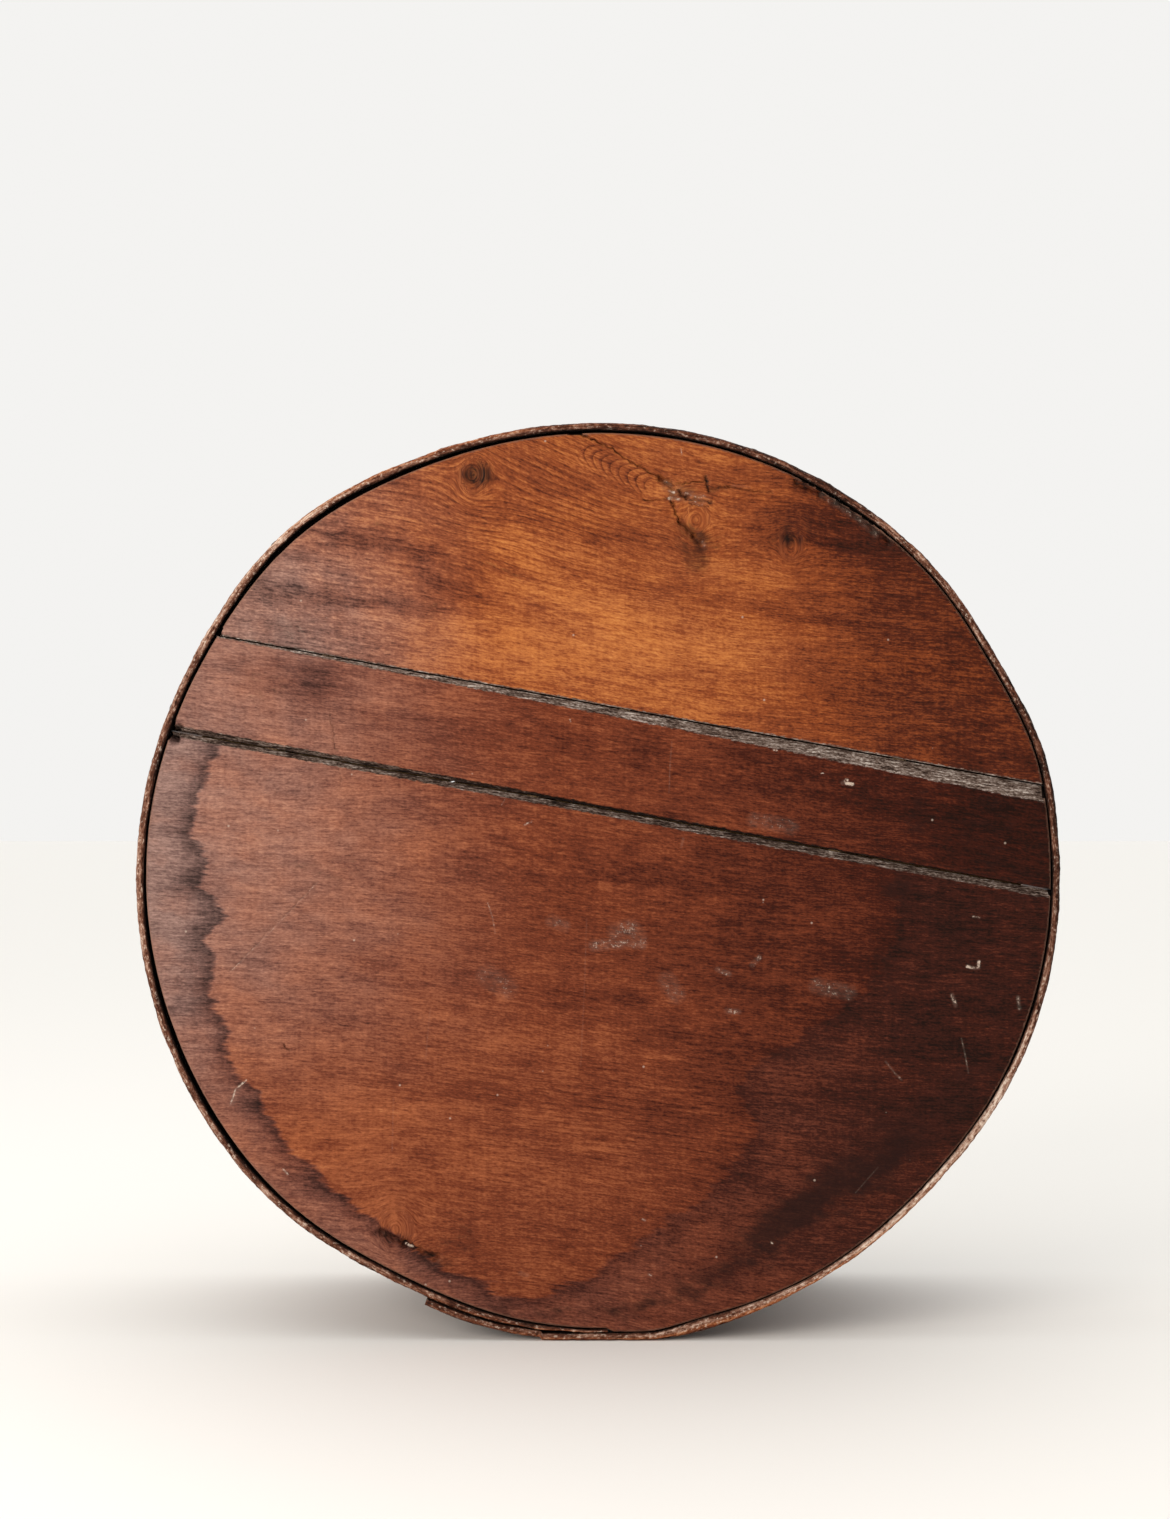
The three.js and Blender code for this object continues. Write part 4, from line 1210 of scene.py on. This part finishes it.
def split_beech(name):
    """Beech pegs, split and whittled: pale straight fibres with short dark flecks."""
    material, shader, add = start_material(name)
    spot = add("TexCoord", out="Object")
    long = add("VectorMath", {0: spot, 1: (900, 900, 90)}, operation="MULTIPLY")
    fibre = add("TexNoise", {"Vector": long, "Scale": 1.0, "Detail": 4.0})
    pales = [(0.35, "#6f4c2c"), (0.55, "#a8845a"), (0.75, "#c0a078")]
    colour = add("ValToRGB", {0: fibre}, stops=pales)
    rough = add("Math", {0: fibre, 1: 0.3, 2: 0.5}, operation="MULTIPLY_ADD")
    bump = add("Bump", {"Strength": 0.3, "Distance": 0.0002, "Height": fibre})
    fill(shader, {"Base Color": colour, "Roughness": rough, "Normal": bump})
    return material


# ---- the band's mesh ---------------------------------------------------------

BAND_STEPS = 1080
WALL_STEPS = 14
CORNER = 0.9
# Painted shade darkens the band's inside down to this depth, round the base, in the gap beside it.
GAP_SHADE_DEPTH = 20

# How worn and pale the rim is, and how much orange wood shows on its outer corner, round the drum.
RIM_WEAR = [
    (0, 0.28), (15, 0.22), (30, 0.32), (45, 0.5), (58, 0.24), (75, 0.24), (90, 0.28), (105, 0.38),
    (120, 0.48), (135, 0.64), (150, 0.54), (165, 0.4), (180, 0.5), (195, 0.42), (210, 0.42),
    (225, 0.44), (240, 0.36), (255, 0.36), (270, 0.44), (285, 0.48), (300, 0.64), (315, 0.76),
    (330, 0.82), (345, 0.46), (360, 0.28),
]  # fmt: skip
RIM_WARM = [
    (0, 0.0), (90, 0.3), (105, 0.8), (122, 0.6), (135, 0.1), (150, 0.0), (235, 0.0), (255, 0.5),
    (275, 0.8), (290, 1.0), (303, 0.8), (316, 0.3), (330, 0.0), (360, 0.0),
]  # fmt: skip
# How the rim's paleness is spread over the thickness, from the inside out, to the right and to the left of
# the drum: partly wear, partly painted light, which pales the part of the rim that faces the window at the
# left.
WEAR_ACROSS = [0, 0.15, 0.4, 0.7, 1]
WEAR_AND_LIGHT_RIGHT = [-0.05, 0.14, 0.10, -0.10, -0.22]
WEAR_AND_LIGHT_LEFT = [-0.30, -0.12, 0.02, 0.10, 0.06]


def strip_section():
    """The strip's section, as (share of the way from the rim to the mouth, share of its thickness,
    depth in from the rim or mouth): round its outside, over the mouth, back along its inside and over
    the rim."""
    walls = np.linspace(0, 1, WALL_STEPS + 1) ** 1.5
    corner = CORNER / BAND_THICK
    outside = [(w, 1.0) for w in walls]
    inside = [(w, 0.0) for w in walls[::-1]]
    mouth = [(1.0, 1 - corner), (1.0, 0.5), (1.0, corner)]
    rim = [(0.0, share) for share in (corner * 0.5, corner, 0.4, 0.6, 1 - corner, 1 - corner * 0.5)]
    return np.array(outside + mouth + inside + rim)


def make_band(material):
    """A flat strip is modelled first and then bent round, as the real one is."""
    section = strip_section()
    count = len(section)
    bpy.ops.mesh.primitive_grid_add(x_subdivisions=BAND_STEPS, y_subdivisions=count, size=1)
    band = new_piece("bent_strip")
    flat = places(band)
    run = (flat[:, 0] + 0.5) * (360 + LAP)
    turn = np.round((flat[:, 1] + 0.5) * count).astype(int) % count
    share_deep, share_thick = section[turn].T
    inner, outer = strip_radii(run)
    thick = outer - inner
    angle = INNER_END - run

    # The rim is uneven, and its outer corner is worn to a bevel where the drum has been rolled and dropped.
    rim_side = share_deep < 1e-6
    on_wall = (share_thick < 1e-6) | (share_thick > 1 - 1e-6)
    corner = np.minimum(CORNER, 0.4 * thick)
    orange = np.interp(angle % 360, *zip(*RIM_WARM))
    bevel = 1.4 * orange + 0.3
    around = np.radians(angle) * BAND_RADIUS
    uneven = 0.25 * (1 + waves(around, 0 * around, 60, 21))
    uneven = uneven + 0.12 * (1 + waves(around, 7 * share_thick, 7, 22))
    radius = inner + share_thick * thick
    near_rim = np.clip(1 - share_deep * 12, 0, 1)
    radius = radius + near_rim * 0.15 * waves(around, 9 * share_thick, 14, 24)
    radius = radius + near_rim * 0.11 * waves(around, 9 * share_thick, 3.6, 25)
    depth = share_deep * (MOUTH_Y - RIM_Y) / MM
    depth = depth + np.where(rim_side, uneven, 0)
    outer_corner = rim_side & (share_thick > 1 - 1e-6)
    inner_corner = rim_side & (share_thick < 1e-6)
    depth = depth + np.where(outer_corner, corner + bevel, 0) + np.where(inner_corner, corner, 0)
    near_outer = rim_side & (share_thick > 0.8) & ~outer_corner
    radius = radius - np.where(near_outer, 0.35 * bevel, 0)
    depth = depth + np.where(near_outer & (share_thick > 0.85), 0.45 * bevel, 0)
    mouth_corner = (share_deep > 1 - 1e-6) & on_wall
    depth = depth - np.where(mouth_corner, 0.6 * corner, 0)
    chipped = np.clip(waves(around, 3 * share_thick, 11, 23) - 0.55, 0, 1)
    depth = depth + np.where(rim_side & (share_thick > 0.5), 0.9 * chipped, 0)

    turned = np.radians(angle)
    spots = np.stack(
        [radius * np.cos(turned) * MM, RIM_Y + depth * MM, AXIS_Z + radius * np.sin(turned) * MM], 1
    )
    spots = np.clip(spots, np.array(CAD_BOX[0]), np.array(CAD_BOX[1]))
    set_places(band, spots)
    length = run * math.pi / 180 * BAND_RADIUS
    store(band, "grain", "FLOAT_VECTOR", np.stack([length, depth, radius - inner], 1))
    wear = np.interp(angle % 360, *zip(*RIM_WEAR))
    # Painted light as well as wear: on each side, the part of the rim that faces the window is paler.
    right = 0.5 + 0.5 * np.cos(np.radians(angle + 15))
    spread = right * np.interp(share_thick, WEAR_ACROSS, WEAR_AND_LIGHT_RIGHT)
    spread = spread + (1 - right) * np.interp(share_thick, WEAR_ACROSS, WEAR_AND_LIGHT_LEFT)
    store(band, "worn", "FLOAT", wear + spread)
    # The band's inside, in the gap by the base, gets painted shade.
    shaded_in_gap = np.clip((depth - 0.8) / 0.8, 0, 1) * np.clip((GAP_SHADE_DEPTH - depth) / 4, 0, 1)
    store(band, "painted_gap_shade", "FLOAT", np.where(share_thick < 1e-6, shaded_in_gap, 0))
    store(band, "rim", "FLOAT", np.where(rim_side, 1.0, np.clip(1 - (depth - 2.5) / 2, 0, 1) * ~rim_side))
    store(band, "warm", "FLOAT", orange * np.clip((share_thick - 0.45) / 0.3, 0, 1))

    only(band)
    mode("EDIT")
    bpy.ops.mesh.select_all(action="SELECT")
    bpy.ops.mesh.remove_doubles(threshold=1e-6)
    bpy.ops.mesh.select_all(action="DESELECT")
    bpy.ops.mesh.select_mode(type="EDGE")
    bpy.ops.mesh.select_non_manifold()
    bpy.ops.mesh.fill_holes(sides=0)
    turn_faces_out()
    smooth(band, 40)
    hand_over(band, material, "mold", "bent_band", "bent_band")


# ---- nails -------------------------------------------------------------------

NAIL_RADIUS, HEAD_RADIUS, HEAD_HEIGHT = 1.1, 2.9, 1.3
NAILS_INTO_BASE = {
    "upper": [20, 44, 70, 110, 134],
    "middle": [0.8, 7, 151, 158],
    "lower": [-5.4, -12.8, -30, -50, -68, 165, 179.2, 200, 222, 243],
}


def model_nail(length):
    """A forged nail that stands along z, the underside of its head at the origin: hammered facets, a
    square shank."""
    half = 0.5 * HEAD_HEIGHT * MM
    bpy.ops.mesh.primitive_cylinder_add(
        vertices=9, radius=HEAD_RADIUS * MM, depth=half, location=(0, 0, half / 2)
    )
    nail = new_piece("nail_pattern")
    settle(nail)
    mode("EDIT")
    pick(nail, lambda centre, normal: normal.z > 0.9)
    pull(z=0.42 * HEAD_HEIGHT * MM)
    bpy.ops.transform.resize(value=(0.5, 0.42, 1), center_override=(0, 0, 0))
    pick(nail, lambda centre, normal: normal.z < -0.9)
    bpy.ops.mesh.inset(thickness=(HEAD_RADIUS - NAIL_RADIUS) * MM, depth=0)
    pull(z=-0.75 * length * MM)
    pull(z=-0.24 * length * MM)
    bpy.ops.transform.resize(value=(0.25, 0.25, 1), center_override=(0, 0, 0))
    mode("OBJECT")
    ease(nail, 0.18, 2, 30)
    return nail


def drive_nail(pattern, node, place, body, material, seed):
    """A copy of a nail with its own hammer marks, put at a place."""
    piece = pattern.copy()
    piece.data = pattern.data.copy()
    piece.name = piece.data.name = f"{node}_forged"
    bpy.context.scene.collection.objects.link(piece)
    turn = np.random.default_rng(seed)
    spots = places(piece)
    head = spots[:, 2] > 0.2 * HEAD_HEIGHT * MM
    spots[head, :2] += turn.uniform(-0.14, 0.14, (head.sum(), 2)) * MM
    spots[head, 2] -= turn.uniform(0, 0.12, head.sum()) * MM
    set_places(piece, spots)
    piece.data.transform(place)
    smooth(piece, 30)
    hand_over(piece, material, body, "wrought_nails", node)


def radial_place(degrees, radius, y):
    """A place on the drum's outside, its z axis pointing outwards."""
    angle = math.radians(degrees)
    out = Vector((math.cos(angle), 0, math.sin(angle)))
    turn = out.to_track_quat("Z", "Y").to_matrix().to_4x4()
    return Matrix.Translation(out * radius * MM + Vector((0, y, AXIS_Z))) @ turn


def make_nails(material):
    long, short = model_nail(22), model_nail(9)
    seed = 100
    middle_y = (FACE_Y + BACK_Y) / 2
    for board, angles in NAILS_INTO_BASE.items():
        for i, degrees in enumerate(angles, 1):
            node = f"{board}_board_nail_{i}"
            place = radial_place(degrees, outer_radius(degrees) + 0.05, middle_y)
            drive_nail(long, node, place, "mold", material, seed)
            seed += 1
    for i in range(1, 9):
        node = f"lap_nail_{i}"
        low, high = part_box(node)
        centre = (low + high) / 2
        degrees = math.degrees(math.atan2(centre.z - AXIS_Z, centre.x))
        outer = max(np.hypot(*np.array(on_face(frame["nodes"][node]))[:2]))
        place = radial_place(degrees, outer - HEAD_HEIGHT - 0.3, centre.y)
        drive_nail(short, node, place, "mold", material, seed)
        seed += 1
    bpy.data.objects.remove(long)
    bpy.data.objects.remove(short)


# ---- the follower ------------------------------------------------------------

FOLLOWER_TURN = 17.0
FOLLOWER_DROP = 2.5
FOLLOWER_RADIUS = 187.0
FOLLOWER_BOARD = 124.0
FOLLOWER_SEAM = 0.8


def turned_with_follower():
    """The follower's own place: u along its boards, v across them."""
    drop = Matrix.Translation((0, 0, AXIS_Z - FOLLOWER_DROP * MM))
    return drop @ Matrix.Rotation(math.radians(-FOLLOWER_TURN), 4, "Y")


def follower_board(name, low, high, material):
    """One board: a disc cut along its seams, with its edges eased."""
    near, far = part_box(f"follower_{name}_board")
    board = cylinder_along_y(f"follower_{name}_plank", 192, FOLLOWER_RADIUS * MM, near.y, far.y)
    mode("EDIT")
    for height, keep_above in ((low, True), (high, False)):
        if height is None:
            continue
        bpy.ops.mesh.select_all(action="SELECT")
        bpy.ops.mesh.bisect(
            plane_co=(0, 0, height * MM),
            plane_no=(0, 0, 1),
            use_fill=True,
            clear_inner=keep_above,
            clear_outer=not keep_above,
        )
    mode("OBJECT")
    ease(board, 1.1)
    board.data.transform(turned_with_follower())
    smooth(board, 40)
    hand_over(board, material, "follower", "follower_wood", f"follower_{name}_board")


BATTEN_WIDTH, BATTEN_LENGTH, BATTEN_AT, BATTEN_NOSE = 42.0, 286.0, 84.0, 12.0
BATTEN_NAILS = [(-118, 8), (-82, -8), (-30, 8), (30, -8), (82, 8), (118, -8)]
HEAD_SUNK = 0.4


def make_batten(side, at, material, iron, pattern, seed):
    """A batten, its ends bevelled at the back, with its nails."""
    near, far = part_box(f"follower_{side}_batten")
    thick = far.y - near.y
    bpy.ops.mesh.primitive_cube_add(size=1, location=(at * MM, (near.y + far.y) / 2, 0))
    batten = new_piece(f"follower_{side}_bar")
    batten.scale = (BATTEN_WIDTH * MM, thick, BATTEN_LENGTH * MM)
    settle(batten)
    half = BATTEN_LENGTH / 2 * MM
    nose = BATTEN_NOSE * MM
    mode("EDIT")
    for end in (-1, 1):
        bpy.ops.mesh.select_all(action="SELECT")
        slope = Vector((0, nose, end * (thick - nose / 2)))
        bpy.ops.mesh.bisect(
            plane_co=(0, near.y + nose / 2, end * half), plane_no=slope, use_fill=True, clear_outer=True
        )
    mode("OBJECT")
    ease(batten, 1.6)
    for along, aside in BATTEN_NAILS:
        deep = HEAD_SUNK + HEAD_HEIGHT + 0.3
        reach = (far.y - deep * MM, far.y + deep * MM)
        place = {"x": (at + aside) * MM, "z": along * MM}
        sink = cylinder_along_y("sink", 14, (HEAD_RADIUS + 0.3) * MM, *reach, **place)
        cut(batten, sink, "DIFFERENCE")
    batten.data.transform(turned_with_follower())
    smooth(batten, 40)
    hand_over(batten, material, "follower", "follower_wood", f"follower_{side}_batten")

    facing = Matrix.Rotation(math.radians(-90), 4, "X")
    for i, (along, aside) in enumerate(BATTEN_NAILS, 1):
        node = f"{side}_batten_nail_{i}"
        underside = far.y - (HEAD_SUNK + HEAD_HEIGHT) * MM
        spot = Matrix.Translation(((at + aside) * MM, underside, along * MM))
        place = turned_with_follower() @ spot @ facing
        drive_nail(pattern, node, place, "follower", iron, seed + i)


def make_follower(wood, batten_wood, iron):
    half = FOLLOWER_BOARD / 2
    follower_board("upper", half + FOLLOWER_SEAM, None, wood)
    follower_board("middle", -half, half, wood)
    follower_board("lower", None, -half - FOLLOWER_SEAM, wood)
    pattern = model_nail(30)
    make_batten("left", -BATTEN_AT, batten_wood, iron, pattern, 300)
    make_batten("right", BATTEN_AT, batten_wood, iron, pattern, 400)
    bpy.data.objects.remove(pattern)


# ---- stage -------------------------------------------------------------------


def soft_light(name, place, aim, size, power, colour):
    light = bpy.data.lights.new(name, "AREA")
    light.shape = "DISK"
    light.size = size
    light.energy = power
    light.color = srgb(colour)[:3]
    lamp = bpy.data.objects.new(name, light)
    lamp.location = place
    lamp.rotation_euler = (Vector(aim) - Vector(place)).to_track_quat("-Z", "Y").to_euler()
    bpy.context.scene.collection.objects.link(lamp)


def make_stage(settings):
    deselect()
    bpy.ops.mesh.primitive_plane_add(size=30)
    floor = new_piece("floor")
    material, shader, _ = start_material("pale_floor")
    fill(shader, {"Base Color": settings.floor_colour, "Roughness": 0.7})
    floor.data.materials.append(material)

    scene = bpy.context.scene
    # The studio is palest behind the mold and overhead, and dimmer on the camera's side.
    world = bpy.data.worlds.new("studio")
    world.use_nodes = True
    backdrop = world.node_tree.nodes["Background"]
    add = partial(add_node, world.node_tree)
    way = add("SeparateXYZ", {0: add("TexCoord", out="Generated")}).node
    ends = {1: -0.75, 2: 0.1, 3: settings.front_light, 4: settings.room_light}
    around = add("MapRange", {0: way.outputs["Y"], **ends})
    overhead = add("MapRange", {0: way.outputs["Z"], 1: 0.4, 2: 0.9, 3: 0.0, 4: 0.8})
    strength = add("Math", {0: around, 1: overhead}, operation="ADD")
    fill(backdrop, {"Color": srgb("#f6f5f3"), "Strength": strength})
    scene.world = world
    middle = (0, FACE_Y, AXIS_Z)
    soft_light("window", (-1.15, -1.45, 0.75), middle, 1.1, settings.window_light, "#fff8f0")

    camera = bpy.data.objects.new("camera", bpy.data.cameras.new("camera"))
    camera.location = (settings.camera_side, FACE_Y - settings.camera_distance, AXIS_Z + settings.camera_rise)
    camera.rotation_euler = (math.radians(90), 0, 0)
    camera.data.lens = 36 * settings.camera_distance / settings.view_height
    camera.data.shift_y = settings.view_shift
    scene.collection.objects.link(camera)
    scene.camera = camera
    scene.view_settings.view_transform = "Standard"


# ---- the add-on --------------------------------------------------------------


class CheeseMoldStage(bpy.types.PropertyGroup):
    floor_colour: bpy.props.FloatVectorProperty(
        name="Floor", description="Colour of the floor", subtype="COLOR", size=4, default=srgb("#e8e6e2")
    )
    room_light: bpy.props.FloatProperty(
        name="Room", description="Light from behind and above", default=0.98
    )
    front_light: bpy.props.FloatProperty(
        name="Front", description="Light from the camera's side", default=0.3
    )
    window_light: bpy.props.FloatProperty(
        name="Window", description="Power of the window at the left", default=25.0, unit="POWER"
    )
    camera_distance: bpy.props.FloatProperty(
        name="Distance", description="From the camera to the base", default=1.0, unit="LENGTH"
    )
    camera_rise: bpy.props.FloatProperty(
        name="Rise", description="Camera's height above the drum's axis", default=0.0313, unit="LENGTH"
    )
    camera_side: bpy.props.FloatProperty(
        name="Side", description="Camera's place to the right of the axis", default=-0.0057, unit="LENGTH"
    )
    view_height: bpy.props.FloatProperty(
        name="View height", description="Height of the view at the base", default=0.6605, unit="LENGTH"
    )
    view_shift: bpy.props.FloatProperty(
        name="Shift", description="Upward shift of the view, as a share of its height", default=0.0319
    )


class MOLD_OT_base(bpy.types.Operator):
    """Models and paints the three boards of the base"""

    bl_idname = "mold.base"
    bl_label = "Base boards"

    def execute(self, context):
        make_board("upper", old_pine("amber_waxed_pine", AMBER_PINE, 2.6))
        make_board("middle", old_pine("red_waxed_pine", RED_PINE, 3.2))
        make_board("lower", old_pine("brown_waxed_pine", RED_PINE, 3.0))
        return {"FINISHED"}


class MOLD_OT_band(bpy.types.Operator):
    """Models and paints the bent band"""

    bl_idname = "mold.band"
    bl_label = "Bent band"

    def execute(self, context):
        make_band(bent_wood("bent_handled_wood"))
        return {"FINISHED"}


class MOLD_OT_nails(bpy.types.Operator):
    """Models the forged nails and drives them into the band"""

    bl_idname = "mold.nails"
    bl_label = "Band nails"

    def execute(self, context):
        make_nails(forged_iron("forged_nail_iron"))
        return {"FINISHED"}


class MOLD_OT_follower(bpy.types.Operator):
    """Models the follower's boards, battens and nails"""

    bl_idname = "mold.follower"
    bl_label = "Follower"

    def execute(self, context):
        boards = scrubbed_pine("scrubbed_pine_boards", FOLLOWER_TURN)
        battens = scrubbed_pine("scrubbed_pine_battens", FOLLOWER_TURN + 90)
        make_follower(boards, battens, forged_iron("forged_batten_iron"))
        return {"FINISHED"}


class MOLD_OT_dowels(bpy.types.Operator):
    """Gives the frame's dowels their wood"""

    bl_idname = "mold.dowels"
    bl_label = "Seam dowels"

    def execute(self, context):
        wood = split_beech("split_beech")
        for name, node in frame["nodes"].items():
            if "dowel" in name:
                node.data.materials.clear()
                node.data.materials.append(wood)
        return {"FINISHED"}


class MOLD_OT_stage(bpy.types.Operator):
    """Adds the floor, the lights and the camera"""

    bl_idname = "mold.stage"
    bl_label = "Stage"

    def execute(self, context):
        make_stage(context.scene.cheese_mold_stage)
        return {"FINISHED"}


OPERATORS = (MOLD_OT_base, MOLD_OT_band, MOLD_OT_nails, MOLD_OT_follower, MOLD_OT_dowels, MOLD_OT_stage)


class MOLD_PT_panel(bpy.types.Panel):
    """Lists the mold's pieces and its stage"""

    bl_label = "Cheese mold"
    bl_space_type = "VIEW_3D"
    bl_region_type = "UI"
    bl_category = "Cheese mold"

    def draw(self, context):
        for operator in OPERATORS:
            self.layout.operator(operator.bl_idname)
        settings = context.scene.cheese_mold_stage
        for key in CheeseMoldStage.__annotations__:
            self.layout.prop(settings, key)


CLASSES = (CheeseMoldStage, *OPERATORS, MOLD_PT_panel)


def register():
    for made in CLASSES:
        bpy.utils.register_class(made)
    bpy.types.Scene.cheese_mold_stage = bpy.props.PointerProperty(type=CheeseMoldStage)


def unregister():
    del bpy.types.Scene.cheese_mold_stage
    for made in reversed(CLASSES):
        bpy.utils.unregister_class(made)


def main():
    register()
    bpy.ops.mold.stage()
    bpy.ops.mold.base()
    bpy.ops.mold.band()
    bpy.ops.mold.nails()
    bpy.ops.mold.follower()
    bpy.ops.mold.dowels()
    deselect()


if __name__ == "__main__":
    main()
